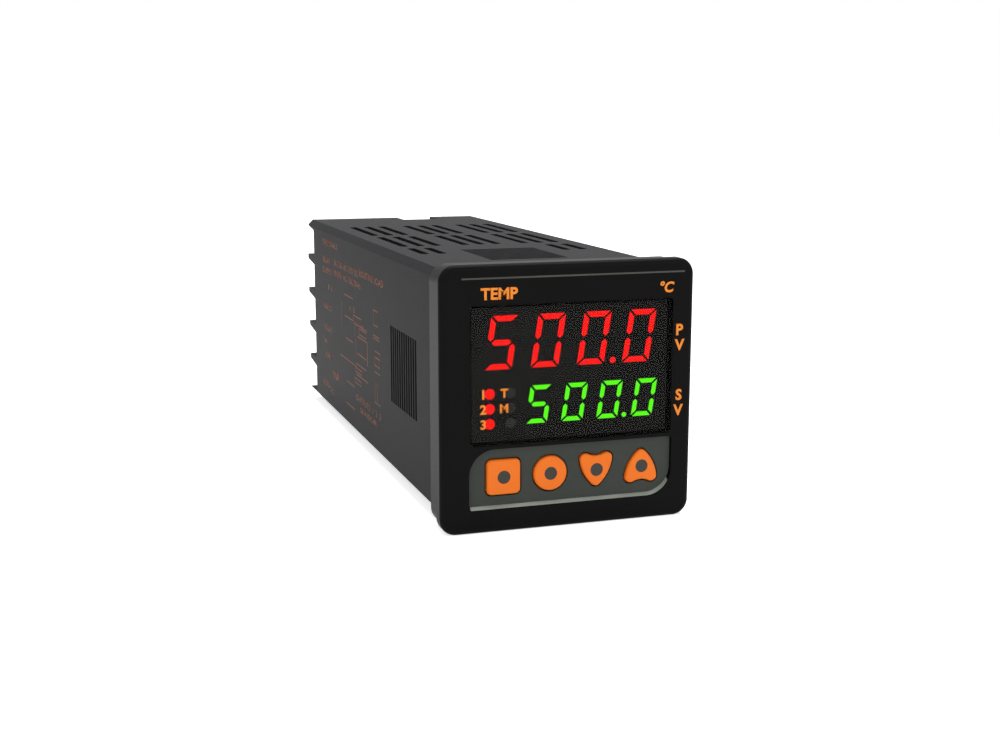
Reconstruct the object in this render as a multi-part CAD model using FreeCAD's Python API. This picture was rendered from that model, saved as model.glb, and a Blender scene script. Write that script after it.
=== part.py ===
import FreeCAD, Part
import math
import os

from FreeCAD import Vector

# Panel-mount temperature controller, 48 mm square front.
# Millimetres.  +Z up, +Y from the panel towards the rear terminals, and the
# front faces -Y.  The origin is the centre of the panel plane, where the
# flange's rear face meets the panel.

# ---- Driving sizes: front -------------------------------------------------
FRONT_WIDTH = 48.0
FRONT_CORNER_RADIUS = 3.0
FRONT_EDGE_RADIUS = 1.0
FRONT_STEP_DEPTH = 2.8
FLANGE_DEPTH = 5.2
FLANGE_STEP = 0.45
FACE_WALL = 3.0
BEZEL_LINER = 1.1

# ---- Driving sizes: housing -----------------------------------------------
HOUSING_WIDTH = 44.8
HOUSING_LENGTH = 113.0
HOUSING_WALL = 1.8
LONG_EDGE_BEVEL = 1.4
INNER_EDGE_BEVEL = 0.5

# ---- Driving sizes: window, lamps and readouts ----------------------------
FACE_SHIFT = 0.7
WINDOW_SIDE_MARGIN = 0.25
WINDOW_TOP_MARGIN = 2.55
WINDOW_KEYPAD_WEB = 0.7
WINDOW_RADIUS = 0.6
WINDOW_THICKNESS = 1.2
WINDOW_SINK = 0.15
WINDOW_LEDGE = 0.5

DIGITS = 4
DIGIT_SLANT_DEGREES = 9.0
POINT_RISE_SHARE = 0.6

UPPER_SIDE_MARGIN = 1.84
UPPER_TOP_SPACE = 1.4
READOUT_SPACE = 2.55
UPPER_DIGIT_SPACING = 3.53
UPPER_DIGIT_STROKE = 1.25
UPPER_MODULE_MARGIN = 0.6

LOWER_SIDE_SPACE = 1.82
LOWER_DIGIT_HEIGHT = 7.5
LOWER_BOTTOM_SPACE = 3.05
LOWER_DIGIT_SPACING = 2.89
LOWER_DIGIT_STROKE = 0.95
LOWER_MODULE_MARGIN = 0.7

SEGMENT_GAP = 0.22
SEGMENT_RISE = 0.15
SEGMENT_SEAT = 0.6
MODULE_GAP = 0.3
MODULE_DEPTH = 5.0

LAMP_RADIUS = 0.93
LAMP_ROWS = 3
LAMP_PITCH = 2.73
LAMP_RISE = 2.4
LAMP_FIELD_WIDTH = 11.24
LAMP_EDGE_SPACE = 3.55
LAMP_COLUMN_PITCH = 3.85
LAMP_RECESS = 0.465
LAMP_DOME_RADIUS = 0.4185
LAMP_BORE_CLEARANCE = 0.12
SHROUD_MARGIN = 1.5

# ---- Driving sizes: keypad ------------------------------------------------
KEYPAD_EXTRA_WIDTH = 0.7
KEYPAD_HEIGHT = 10.5
KEYPAD_BOTTOM_MARGIN = 0.15
KEYPAD_LARGE_RADIUS = 4.8
KEYPAD_SMALL_RADIUS = 0.6
KEYPAD_RECESS = 1.0
KEYPAD_LIP_SLOPE = 0.5
KEYPAD_LEDGE = 0.9
PLATE_THICKNESS = 1.2

KEY_ROW_MARGIN = 3.7
KEY_ROW_DROP = 0.1
KEY_WIDTH = 6.45
KEY_HEIGHT = 6.9
KEY_CORNER_RADIUS = 1.0
KEY_EDGE_RADIUS = 0.45
KEY_PROUD = 0.25
KEY_FLANGE = 0.5
KEY_FLANGE_THICKNESS = 0.8
KEY_DIMPLE_RADIUS = 1.2
KEY_DIMPLE_DEPTH = 0.4
ARROW_TIP_RADIUS = 1.0
ARROW_BASE_RADIUS = 1.15
ARROW_SIDE_RADIUS = 9.0
ARROW_HOLLOW_RADIUS = 3.0

SWITCH_SIZE = 6.0
SWITCH_BODY_HEIGHT = 2.5
SWITCH_LID = 0.5
SWITCH_FLOOR = 0.6
PLUNGER_RADIUS = 1.7
PLUNGER_COLLAR = 0.5
PLUNGER_COLLAR_THICKNESS = 0.4

# ---- Driving sizes: boards and what they carry ----------------------------
BOARD_THICKNESS = 1.6
POST_RADIUS = 1.0
POST_X = 16.0
POST_WALL_GAP = 0.05
POST_WINDOW_DROP = 0.55
BOARD_EDGE_GAP = 0.4
BOARD_FRONT_GAP = 0.5
BOARD_STEP_GAP = 1.0
RAIL_WIDTH = 0.9
RAIL_HEIGHT = 1.4
RAIL_FRONT_START = 14.0
RAIL_FRONT_LENGTH = 10.0
RAIL_REAR_LENGTH = 7.0
HEADER_WIDTH = 2.5
HEADER_LENGTH = 6.0
HEADER_HEIGHT = 20.0
CHIP_SIZE = 9.0
CHIP_THICKNESS = 1.4

# Places along the housing are measured forward from the terminal block.
TRANSFORMER_PLACE = 54.0
CORE_LENGTH = 18.0
CORE_HEIGHT = 16.0
CORE_DEPTH = 5.0
CORE_LEG = 4.4
CORE_YOKE = 2.4
WINDING_CLEARANCE = 6.8
WINDING_GAP = 0.1
CAPACITOR_CLEARANCE = 0.8
CAPACITOR_LENGTH = 16.0
CAPACITOR_PLACE = 43.0
CAPACITOR_Z = 9.0
CAPACITOR_GROOVE_PLACE = 2.4
CAPACITOR_GROOVE_WIDTH = 0.8
CAPACITOR_GROOVE_DEPTH = 0.4
FILTER_SIZE = (5.5, 12.0, 11.0)
FILTER_PLACE = 22.0
FILTER_LOW_Z = 1.0
VARISTOR_RADIUS = 4.0
VARISTOR_THICKNESS = 3.6
VARISTOR_PLACE = 34.0
VARISTOR_Z = -9.0
RELAY_SIZE = (8.8, 15.0, 19.0)
RELAY_PLACES = (40.0, 22.0)
CONVERTER_SIZE = (2.6, 8.0, 10.0)
CONVERTER_PLACE = 66.0

# ---- Driving sizes: vents and ratchet ribs --------------------------------
# A row of vents is the distances of its two ends from the housing's rear end.
VENT_COLUMN_PITCH = 13.1
VENT_SLOT_PITCH = 3.5
VENT_SLOT_WIDTH = 1.7
VENT_SLOTS_PER_COLUMN = 3
VENT_REAR_ROW = (43.0, 19.0)
VENT_MIDDLE_ROW = (69.5, 47.0)
VENT_FRONT_ROW = (85.5, 73.5)
VENT_CORNER_RADIUS = 0.75

RIB_PATCH_WIDTH = 15.5
RIB_PATCH_START = 13.6
RIB_PITCH = 1.72
RIB_GROOVES = 12
RIB_GROOVE_WIDTH = 1.15
RIB_GROOVE_DEPTH = 0.8

# ---- Driving sizes: rear terminals ----------------------------------------
TERMINAL_ROWS = 5
FIN_LENGTH = 8.0
FIN_TIP = 1.2
FIN_ROOT = 2.1
FIN_TIP_RADIUS = 0.45
FLOOR_LEDGE = 1.6
BARRIER_WALL = 1.2
BARRIER_INSET = 1.6
LEFT_BAY_WIDTH = 8.5
MIDDLE_BAY_WIDTH = 9.9
RIGHT_BAY_WIDTH = 8.6
BLOCK_RIM = 1.0
BLOCK_DEPTH = 7.0
BAY_SINK = 4.5
PLUG_WALL = 0.65
TAG_THICKNESS = 0.8
TAG_SIDE_SPACE = 1.1
TAG_TAIL_HEIGHT = 2.4
TAG_TAIL_LENGTH = 9.0
CLAMP_MARGIN = 0.6
CLAMP_THICKNESS = 0.9
SCREW_RADIUS = 1.5
SCREW_HEAD_HEIGHT = 2.2
SCREW_CROWN_RADIUS = 0.88
SCREW_LENGTH = 7.0
SCREW_SHIFT = 0.4
SLOT_WIDTH = 0.8
SLOT_DEPTH = 1.1

# ---- Clearances -----------------------------------------------------------
FIT = 0.15
SEAT_GAP = 0.1
KEY_CLEARANCE = 0.3
RUNNING_FIT = 0.05
RAIL_CLEARANCE = 0.1
TAG_CLEARANCE = 0.12
SCREW_CLEARANCE = 0.02
OVERCUT = 1.0
COINCIDENT = 1e-4

# ---- Snap hooks -----------------------------------------------------------
SPIGOT_DEPTH = 6.0
HOOK_LENGTH = 5.5
HOOK_WIDTH = 10.0
HOOK_NIB = 0.45
HOOK_NIB_LENGTH = 1.5

# ---- Derived places -------------------------------------------------------
FACE_Y = -(FRONT_STEP_DEPTH + FLANGE_DEPTH)
STEP_Y = -FLANGE_DEPTH
HALF_FRONT = FRONT_WIDTH / 2
HALF_FLANGE = HALF_FRONT - FLANGE_STEP
HALF_HOUSING = HOUSING_WIDTH / 2
HALF_BORE = HALF_HOUSING - HOUSING_WALL
HALF_SPIGOT = HALF_BORE - FIT
HALF_CAVITY = HALF_SPIGOT - BEZEL_LINER
FACE_BACK_Y = FACE_Y + FACE_WALL
KEY_NAMES = ("square", "round", "down", "up")

KEYPAD_BOTTOM = KEYPAD_BOTTOM_MARGIN - HALF_CAVITY
KEYPAD_TOP = KEYPAD_BOTTOM + KEYPAD_HEIGHT
WINDOW_WIDTH = 2 * (HALF_CAVITY - WINDOW_SIDE_MARGIN)
WINDOW_TOP = HALF_CAVITY - WINDOW_TOP_MARGIN
WINDOW_BOTTOM = KEYPAD_TOP + WINDOW_KEYPAD_WEB
WINDOW_LEFT = FACE_SHIFT - WINDOW_WIDTH / 2
WINDOW_RIGHT = FACE_SHIFT + WINDOW_WIDTH / 2
WINDOW_FRONT_Y = FACE_Y + WINDOW_SINK
WINDOW_BACK_Y = WINDOW_FRONT_Y + WINDOW_THICKNESS
MODULE_FRONT_Y = WINDOW_BACK_Y + MODULE_GAP
BOARD_FRONT_Y = MODULE_FRONT_Y + MODULE_DEPTH
BOARD_BACK_Y = BOARD_FRONT_Y + BOARD_THICKNESS

LOWER_DIGIT_PITCH = (WINDOW_WIDTH - LAMP_FIELD_WIDTH) / DIGITS
LOWER_DIGIT_BOTTOM = WINDOW_BOTTOM + LOWER_BOTTOM_SPACE
LOWER_DIGIT_SIZE = (LOWER_DIGIT_PITCH - LOWER_DIGIT_SPACING, LOWER_DIGIT_HEIGHT)
UPPER_DIGIT_PITCH = (WINDOW_WIDTH - 2 * UPPER_SIDE_MARGIN) / DIGITS
UPPER_DIGIT_TOP = WINDOW_TOP - UPPER_TOP_SPACE
UPPER_DIGIT_BOTTOM = LOWER_DIGIT_BOTTOM + LOWER_DIGIT_HEIGHT + READOUT_SPACE
UPPER_DIGIT_SIZE = (UPPER_DIGIT_PITCH - UPPER_DIGIT_SPACING, UPPER_DIGIT_TOP - UPPER_DIGIT_BOTTOM)
UPPER_READOUT_Z = UPPER_DIGIT_TOP - UPPER_DIGIT_SIZE[1] / 2
LOWER_READOUT_X = WINDOW_RIGHT - LOWER_SIDE_SPACE - LOWER_DIGIT_PITCH * DIGITS / 2
LOWER_READOUT_Z = LOWER_DIGIT_BOTTOM + LOWER_DIGIT_SIZE[1] / 2
LIT_LAMP_X = WINDOW_LEFT + LAMP_EDGE_SPACE
DARK_LAMP_X = LIT_LAMP_X + LAMP_COLUMN_PITCH
LAMP_TOP_Z = LOWER_READOUT_Z + LAMP_RISE

KEYPAD_WIDTH = WINDOW_WIDTH + KEYPAD_EXTRA_WIDTH
KEY_PITCH = (KEYPAD_WIDTH - KEY_ROW_MARGIN) / len(KEY_NAMES)
KEY_Z = (KEYPAD_TOP + KEYPAD_BOTTOM) / 2 - KEY_ROW_DROP
KEYPAD_LEFT = FACE_SHIFT - KEYPAD_WIDTH / 2
KEYPAD_RIGHT = FACE_SHIFT + KEYPAD_WIDTH / 2
PLATE_FRONT_Y = FACE_Y + KEYPAD_RECESS
PLATE_BACK_Y = PLATE_FRONT_Y + PLATE_THICKNESS
KEY_FRONT_Y = FACE_Y - KEY_PROUD
KEY_FLANGE_Y = PLATE_BACK_Y + SEAT_GAP
KEY_BACK_Y = KEY_FLANGE_Y + KEY_FLANGE_THICKNESS
SWITCH_FRONT_Y = BOARD_FRONT_Y - SWITCH_BODY_HEIGHT

BLOCK_FRONT_Y = HOUSING_LENGTH - BLOCK_DEPTH
SLEEVE_END_Y = HOUSING_LENGTH - BLOCK_RIM
BAY_FLOOR_Y = HOUSING_LENGTH - BAY_SINK
BAY_PITCH = (HOUSING_WIDTH - FLOOR_LEDGE) / TERMINAL_ROWS
BAY_REACH = HALF_SPIGOT - PLUG_WALL
LOWEST_BAY_HEIGHT = HALF_HOUSING - (TERMINAL_ROWS - 1) * BAY_PITCH - FIN_ROOT + BAY_REACH
POWER_BOARD_X = LEFT_BAY_WIDTH + BARRIER_WALL / 2 - BAY_REACH
PAIR_EDGE_X = POWER_BOARD_X + BARRIER_WALL / 2 + MIDDLE_BAY_WIDTH + BARRIER_WALL
SINGLE_EDGE_X = BAY_REACH - RIGHT_BAY_WIDTH - BARRIER_WALL
IO_BOARD_X = SINGLE_EDGE_X + BARRIER_WALL + SEAT_GAP - BOARD_THICKNESS / 2
TAG_WIDTH = LEFT_BAY_WIDTH - TAG_SIDE_SPACE
TAG_HEIGHT = LOWEST_BAY_HEIGHT - 2 * TAG_CLEARANCE
CLAMP_SIZE = TAG_WIDTH - 2 * CLAMP_MARGIN
SCREW_HEAD_RADIUS = LOWEST_BAY_HEIGHT / 2 - SCREW_CLEARANCE
SCREW_OFFSET = TAG_WIDTH / 2 + SCREW_SHIFT
EDGE_BOARD_START_Y = BOARD_BACK_Y + BOARD_FRONT_GAP
EDGE_BOARD_HALF_HEIGHT = HALF_BORE - BOARD_EDGE_GAP
POWER_FACE_X = POWER_BOARD_X + BOARD_THICKNESS / 2
IO_FACE_X = IO_BOARD_X - BOARD_THICKNESS / 2
BOARD_SPACE = IO_FACE_X - POWER_FACE_X
WINDING_DEPTH = BOARD_SPACE - WINDING_CLEARANCE
CAPACITOR_RADIUS = (BOARD_SPACE - RELAY_SIZE[0] - CAPACITOR_CLEARANCE) / 2
TRANSFORMER_Y = BLOCK_FRONT_Y - TRANSFORMER_PLACE
POST_TOP_Z = HALF_CAVITY - POST_RADIUS - POST_WALL_GAP
POST_LOW_Z = WINDOW_BOTTOM - POST_WINDOW_DROP


# ---- Helpers --------------------------------------------------------------
def box(x, y, z):
    """Solid box from three (low, high) pairs."""
    size = [pair[1] - pair[0] for pair in (x, y, z)]
    return Part.makeBox(size[0], size[1], size[2], Vector(x[0], y[0], z[0]))


def fused(shapes):
    """One shape made of several that touch or overlap."""
    return shapes[0].multiFuse(shapes[1:]).removeSplitter()


def corner_tangents(before, corner, after, radius):
    """Two tangent points and the middle point of a corner's arc."""
    incoming = (before - corner).normalize()
    outgoing = (after - corner).normalize()
    half_angle = incoming.getAngle(outgoing) / 2
    setback = radius / math.tan(half_angle)
    bisector = (incoming + outgoing).normalize()
    centre = corner + bisector * (radius / math.sin(half_angle))
    return corner + incoming * setback, centre - bisector * radius, corner + outgoing * setback


def outline(corners, y):
    """Closed wire in a plane of constant Y, from (x, z, radius) corners."""
    points = [Vector(x, y, z) for x, z, _ in corners]
    count = len(points)
    edges = []
    starts = []
    ends = []
    for index, point in enumerate(points):
        radius = corners[index][2]
        if radius <= 0:
            starts.append(point)
            ends.append(point)
            continue
        following = points[(index + 1) % count]
        first, middle, last = corner_tangents(points[index - 1], point, following, radius)
        edges.append(Part.Arc(first, middle, last).toShape())
        starts.append(first)
        ends.append(last)
    for index in range(count):
        next_start = starts[(index + 1) % count]
        if (next_start - ends[index]).Length > COINCIDENT:
            edges.append(Part.LineSegment(ends[index], next_start).toShape())
    return Part.Wire(Part.__sortEdges__(edges))


def prism(corners, y_start, y_end):
    """Outline carried from one Y to another."""
    face = Part.Face(outline(corners, y_start))
    return face.extrude(Vector(0, y_end - y_start, 0))


def rectangle(left, right, bottom, top, radius=0.0):
    """Four corners with one radius."""
    return [(left, bottom, radius), (right, bottom, radius), (right, top, radius), (left, top, radius)]


def square(half, radius=0.0):
    return rectangle(-half, half, -half, half, radius)


def bevelled_square(half, bevel):
    """Eight corners of a square with cut corners."""
    flat = half - bevel
    return [
        (-flat, -half, 0), (flat, -half, 0), (half, -flat, 0), (half, flat, 0),
        (flat, half, 0), (-flat, half, 0), (-half, flat, 0), (-half, -flat, 0),
    ]


def rod(x, z, radius, y_start, y_end):
    """Cylinder along Y."""
    return Part.makeCylinder(radius, y_end - y_start, Vector(x, y_start, z), Vector(0, 1, 0))


def edges_in_plane(shape, y):
    """Edges that lie in the plane at one Y."""
    return [edge for edge in shape.Edges
            if abs(edge.BoundBox.YMin - y) < COINCIDENT and abs(edge.BoundBox.YMax - y) < COINCIDENT]


# ---- Front ----------------------------------------------------------------
def keypad_corners(grow=0.0, lip=0.0):
    """Keypad outline: two opposite corners large, two small."""
    large = KEYPAD_LARGE_RADIUS + grow
    small = max(KEYPAD_SMALL_RADIUS + grow, 0.0)
    left = KEYPAD_LEFT - grow
    right = KEYPAD_RIGHT + grow
    bottom = KEYPAD_BOTTOM - grow - lip
    return [
        (left, bottom, small), (right, bottom, large),
        (right, KEYPAD_TOP + grow, small), (left, KEYPAD_TOP + grow, large),
    ]


def window_corners(grow=0.0):
    return rectangle(WINDOW_LEFT - grow, WINDOW_RIGHT + grow, WINDOW_BOTTOM - grow,
                     WINDOW_TOP + grow, max(WINDOW_RADIUS + grow, 0.0))


def keypad_lip():
    """Bottom wall of the keypad recess, sloped towards the viewer."""
    mouth = outline(keypad_corners(0.0, KEYPAD_LIP_SLOPE), FACE_Y)
    foot = outline(keypad_corners(), PLATE_FRONT_Y)
    return Part.makeLoft([mouth, foot], True, True)


def front_bezel():
    front_step = prism(square(HALF_FRONT, FRONT_CORNER_RADIUS), FACE_Y, STEP_Y)
    front_step = front_step.makeFillet(FRONT_EDGE_RADIUS, edges_in_plane(front_step, FACE_Y))
    flange = prism(square(HALF_FLANGE, FRONT_CORNER_RADIUS), STEP_Y, 0)
    spigot = prism(square(HALF_SPIGOT, INNER_EDGE_BEVEL), 0, SPIGOT_DEPTH)
    body = fused([front_step, flange, spigot])
    body = body.cut(prism(square(HALF_CAVITY), FACE_BACK_Y, SPIGOT_DEPTH))
    body = body.cut(prism(window_corners(SEAT_GAP), FACE_Y, WINDOW_BACK_Y))
    body = body.cut(prism(window_corners(-WINDOW_LEDGE), WINDOW_BACK_Y, FACE_BACK_Y))
    body = body.cut(keypad_lip())
    body = body.cut(prism(keypad_corners(), PLATE_FRONT_Y, PLATE_BACK_Y))
    body = body.cut(prism(keypad_corners(-KEYPAD_LEDGE), PLATE_BACK_Y, FACE_BACK_Y))
    additions = [body]
    for x in (-POST_X, POST_X):
        for z in (POST_TOP_Z, POST_LOW_Z):
            additions.append(rod(x, z, POST_RADIUS, FACE_BACK_Y, BOARD_FRONT_Y))
    for side in (-1, 1):
        additions.append(snap_hook(side))
    return fused(additions)


def snap_hook(side):
    """Tongue on the spigot whose nib catches in the sleeve."""
    outer = side * HALF_SPIGOT
    inner = side * HALF_CAVITY
    nib = side * (HALF_SPIGOT + HOOK_NIB)
    end = SPIGOT_DEPTH + HOOK_LENGTH
    profile = [
        Vector(inner, SPIGOT_DEPTH, 0), Vector(outer, SPIGOT_DEPTH, 0),
        Vector(outer, end - HOOK_NIB_LENGTH, 0), Vector(nib, end - HOOK_NIB_LENGTH, 0),
        Vector(outer, end, 0), Vector(inner, end, 0),
    ]
    face = Part.Face(Part.makePolygon(profile + profile[:1]))
    tongue = face.extrude(Vector(0, 0, HOOK_WIDTH))
    tongue.translate(Vector(0, 0, -HOOK_WIDTH / 2))
    return tongue


def display_window():
    return prism(window_corners(), WINDOW_FRONT_Y, WINDOW_BACK_Y)


def key_centre_x(index):
    return FACE_SHIFT + (index - (len(KEY_NAMES) - 1) / 2) * KEY_PITCH


def key_blank(name, grow, y_start, y_end):
    """Prism of one key's outline about x = 0, widened by grow."""
    half_width = KEY_WIDTH / 2 + grow
    half_height = KEY_HEIGHT / 2 + grow
    if name == "square":
        corners = rectangle(-half_width, half_width, KEY_Z - half_height, KEY_Z + half_height,
                            KEY_CORNER_RADIUS + grow)
        return prism(corners, y_start, y_end)
    if name == "round":
        return rod(0, KEY_Z, half_width, y_start, y_end)
    return arrow_blank(1 if name == "up" else -1, grow, y_start, y_end)


def arc_between(centre, radius, first, last):
    """Arc about a centre that starts and ends in two directions from it."""
    middle = (first + last).normalize()
    return Part.Arc(centre + first * radius, centre + middle * radius, centre + last * radius).toShape()


def arrow_blank(direction, grow, y_start, y_end):
    """Three rounded lobes joined by two bowed sides and a hollow base, pointing up or down."""
    tip_radius = ARROW_TIP_RADIUS + grow
    base_radius = ARROW_BASE_RADIUS + grow
    half_base = KEY_WIDTH / 2 - ARROW_BASE_RADIUS
    tip = Vector(0, y_start, KEY_HEIGHT / 2 - ARROW_TIP_RADIUS)
    lobe = Vector(half_base, y_start, ARROW_BASE_RADIUS - KEY_HEIGHT / 2)
    to_lobe = ARROW_SIDE_RADIUS - ARROW_BASE_RADIUS
    to_tip = ARROW_SIDE_RADIUS - ARROW_TIP_RADIUS
    span = tip - lobe
    along = (to_lobe ** 2 - to_tip ** 2 + span.Length ** 2) / (2 * span.Length)
    aside = math.sqrt(to_lobe ** 2 - along ** 2)
    unit = Vector(span).normalize()
    side_centre = lobe + unit * along + Vector(-unit.z, 0, unit.x) * aside
    drop = math.sqrt((ARROW_HOLLOW_RADIUS + ARROW_BASE_RADIUS) ** 2 - half_base ** 2)
    hollow_centre = Vector(0, y_start, lobe.z - drop)
    tip_way = (tip - side_centre).normalize()
    lobe_way = (lobe - side_centre).normalize()
    hollow_way = (hollow_centre - lobe).normalize()

    def mirrored(way):
        return Vector(-way.x, 0, way.z)

    left_lobe = Vector(-lobe.x, y_start, lobe.z)
    left_centre = Vector(-side_centre.x, y_start, side_centre.z)
    edges = [
        arc_between(tip, tip_radius, mirrored(tip_way), tip_way),
        arc_between(side_centre, ARROW_SIDE_RADIUS + grow, tip_way, lobe_way),
        arc_between(lobe, base_radius, lobe_way, hollow_way),
        arc_between(hollow_centre, ARROW_HOLLOW_RADIUS - grow, hollow_way * -1, mirrored(hollow_way) * -1),
        arc_between(left_lobe, base_radius, mirrored(hollow_way), mirrored(lobe_way)),
        arc_between(left_centre, ARROW_SIDE_RADIUS + grow, mirrored(lobe_way), mirrored(tip_way)),
    ]
    blank = Part.Face(Part.Wire(Part.__sortEdges__(edges))).extrude(Vector(0, y_end - y_start, 0))
    if direction < 0:
        blank.rotate(Vector(0, 0, 0), Vector(0, 1, 0), 180)
    blank.translate(Vector(0, 0, KEY_Z))
    return blank


def key(index):
    """Key with a rounded front edge, a centre dimple and a flange behind the plate."""
    name = KEY_NAMES[index]
    cap = key_blank(name, 0.0, KEY_FRONT_Y, KEY_FLANGE_Y)
    cap = cap.makeFillet(KEY_EDGE_RADIUS, edges_in_plane(cap, KEY_FRONT_Y))
    cap = cap.cut(rod(0, KEY_Z, KEY_DIMPLE_RADIUS, KEY_FRONT_Y, KEY_FRONT_Y + KEY_DIMPLE_DEPTH))
    flange = key_blank(name, KEY_FLANGE, KEY_FLANGE_Y, KEY_BACK_Y)
    shape = fused([cap, flange])
    shape.translate(Vector(key_centre_x(index), 0, 0))
    return shape


def keypad_plate():
    plate = prism(keypad_corners(-SEAT_GAP), PLATE_FRONT_Y, PLATE_BACK_Y)
    for index, name in enumerate(KEY_NAMES):
        hole = key_blank(name, KEY_CLEARANCE, PLATE_FRONT_Y, PLATE_BACK_Y)
        hole.translate(Vector(key_centre_x(index), 0, 0))
        plate = plate.cut(hole)
    return plate


def switch_body(index):
    """Square switch body with a stepped bore for its plunger."""
    x = key_centre_x(index)
    half = SWITCH_SIZE / 2
    body = box((x - half, x + half), (SWITCH_FRONT_Y, BOARD_FRONT_Y), (KEY_Z - half, KEY_Z + half))
    body = body.cut(rod(x, KEY_Z, PLUNGER_RADIUS + RUNNING_FIT, SWITCH_FRONT_Y, SWITCH_FRONT_Y + SWITCH_LID))
    chamber = PLUNGER_RADIUS + PLUNGER_COLLAR + FIT
    return body.cut(rod(x, KEY_Z, chamber, SWITCH_FRONT_Y + SWITCH_LID, BOARD_FRONT_Y - SWITCH_FLOOR))


def switch_plunger(index):
    """Plunger that rests against the key's back, with a collar under the switch's lid."""
    x = key_centre_x(index)
    collar_y = SWITCH_FRONT_Y + SWITCH_LID + SEAT_GAP
    stem = rod(x, KEY_Z, PLUNGER_RADIUS, KEY_BACK_Y, collar_y)
    collar = rod(x, KEY_Z, PLUNGER_RADIUS + PLUNGER_COLLAR, collar_y, collar_y + PLUNGER_COLLAR_THICKNESS)
    return fused([stem, collar])


# ---- Readouts and lamps ---------------------------------------------------
SEGMENTS_OF = {"5": "afgcd", "0": "abcdef"}


def segment_shapes(width, height, stroke):
    """Corner points of the seven mitred segments of one upright digit about its centre."""
    side = width / 2
    top = height / 2
    gap = SEGMENT_GAP
    roof = [(-side + gap, top), (side - gap, top), (side - stroke - gap, top - stroke),
            (-side + stroke + gap, top - stroke)]
    wing = [(side, top - gap), (side, stroke / 2 + gap), (side - stroke / 2, gap),
            (side - stroke, stroke / 2 + gap), (side - stroke, top - stroke - gap)]
    tip = side - stroke / 2 - gap
    shoulder = side - stroke - gap
    bar = [(-tip, 0), (-shoulder, stroke / 2), (shoulder, stroke / 2),
           (tip, 0), (shoulder, -stroke / 2), (-shoulder, -stroke / 2)]

    def flipped(points, across, down):
        return [(x * across, z * down) for x, z in points]

    return {
        "a": roof, "b": wing, "c": flipped(wing, 1, -1), "d": flipped(roof, 1, -1),
        "e": flipped(wing, -1, -1), "f": flipped(wing, -1, 1), "g": bar,
    }


def digit_centres(pitch, centre_x):
    return [centre_x + (place - (DIGITS - 1) / 2) * pitch for place in range(DIGITS)]


def readout_segments(text, size, pitch, stroke, centre):
    """Raised lit segments of a four-digit readout, and the point before the last digit."""
    width, height = size
    slant = math.tan(math.radians(DIGIT_SLANT_DEGREES))
    shapes = segment_shapes(width, height, stroke)
    solids = []
    back = MODULE_FRONT_Y + SEGMENT_SEAT
    front = MODULE_FRONT_Y - SEGMENT_RISE
    places = digit_centres(pitch, centre[0])
    for digit_x, character in zip(places, text):
        for name in SEGMENTS_OF[character]:
            leaning = [(x + z * slant, z, 0) for x, z in shapes[name]]
            segment = prism(leaning, front, back)
            segment.translate(Vector(digit_x, 0, centre[1]))
            solids.append(segment)
    point_z = centre[1] - height / 2 + stroke * POINT_RISE_SHARE
    point_x = (places[-2] + places[-1]) / 2 - slant * height / 2
    solids.append(rod(point_x, point_z, stroke / 2, front, back))
    return Part.makeCompound(solids)


def readout_module(size, pitch, centre, margin, segments):
    """Four-digit module body, pocketed for its segments."""
    half_width = pitch * DIGITS / 2 + FIT
    half_height = size[1] / 2 + margin
    corners = rectangle(centre[0] - half_width, centre[0] + half_width, centre[1] - half_height,
                        centre[1] + half_height)
    body = prism(corners, MODULE_FRONT_Y, BOARD_FRONT_Y)
    return body.cut(segments)


def upper_segments():
    return readout_segments("5000", UPPER_DIGIT_SIZE, UPPER_DIGIT_PITCH, UPPER_DIGIT_STROKE,
                            (FACE_SHIFT, UPPER_READOUT_Z))


def lower_segments():
    return readout_segments("5000", LOWER_DIGIT_SIZE, LOWER_DIGIT_PITCH, LOWER_DIGIT_STROKE,
                            (LOWER_READOUT_X, LOWER_READOUT_Z))


def upper_module():
    return readout_module(UPPER_DIGIT_SIZE, UPPER_DIGIT_PITCH, (FACE_SHIFT, UPPER_READOUT_Z),
                          UPPER_MODULE_MARGIN, upper_segments())


def lower_module():
    return readout_module(LOWER_DIGIT_SIZE, LOWER_DIGIT_PITCH, (LOWER_READOUT_X, LOWER_READOUT_Z),
                          LOWER_MODULE_MARGIN, lower_segments())


def lamp_places():
    """Name and place of each lamp: a lit column and an unlit column."""
    places = []
    for column, x in (("lit", LIT_LAMP_X), ("unlit", DARK_LAMP_X)):
        for row in range(LAMP_ROWS):
            places.append((f"lamp_{column}_{row + 1}", x, LAMP_TOP_Z - row * LAMP_PITCH))
    return places


def lamp(x, z):
    """Round lamp with a domed front."""
    dome_y = MODULE_FRONT_Y + LAMP_RECESS
    body = rod(x, z, LAMP_RADIUS, dome_y, BOARD_FRONT_Y)
    return body.makeFillet(LAMP_DOME_RADIUS, edges_in_plane(body, dome_y))


def lamp_shroud():
    """Block that keeps each lamp's light in its own bore."""
    places = lamp_places()
    left = min(x for _, x, _ in places) - SHROUD_MARGIN
    right = max(x for _, x, _ in places) + SHROUD_MARGIN
    bottom = min(z for _, _, z in places) - SHROUD_MARGIN
    top = max(z for _, _, z in places) + SHROUD_MARGIN
    block = prism(rectangle(left, right, bottom, top), MODULE_FRONT_Y, BOARD_FRONT_Y)
    for _, x, z in places:
        block = block.cut(rod(x, z, LAMP_RADIUS + LAMP_BORE_CLEARANCE, MODULE_FRONT_Y, BOARD_FRONT_Y))
    return block


# ---- Housing --------------------------------------------------------------
def vent_slot(x, row, z_low, z_high):
    """Slot through one wall, with rounded corners."""
    start, end = (HOUSING_LENGTH - distance for distance in row)
    half = VENT_SLOT_WIDTH / 2
    slot = box((x - half, x + half), (start, end), (z_low, z_high))
    upright = [edge for edge in slot.Edges if edge.BoundBox.ZLength > HOUSING_WALL / 2]
    return slot.makeFillet(VENT_CORNER_RADIUS, upright)


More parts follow.
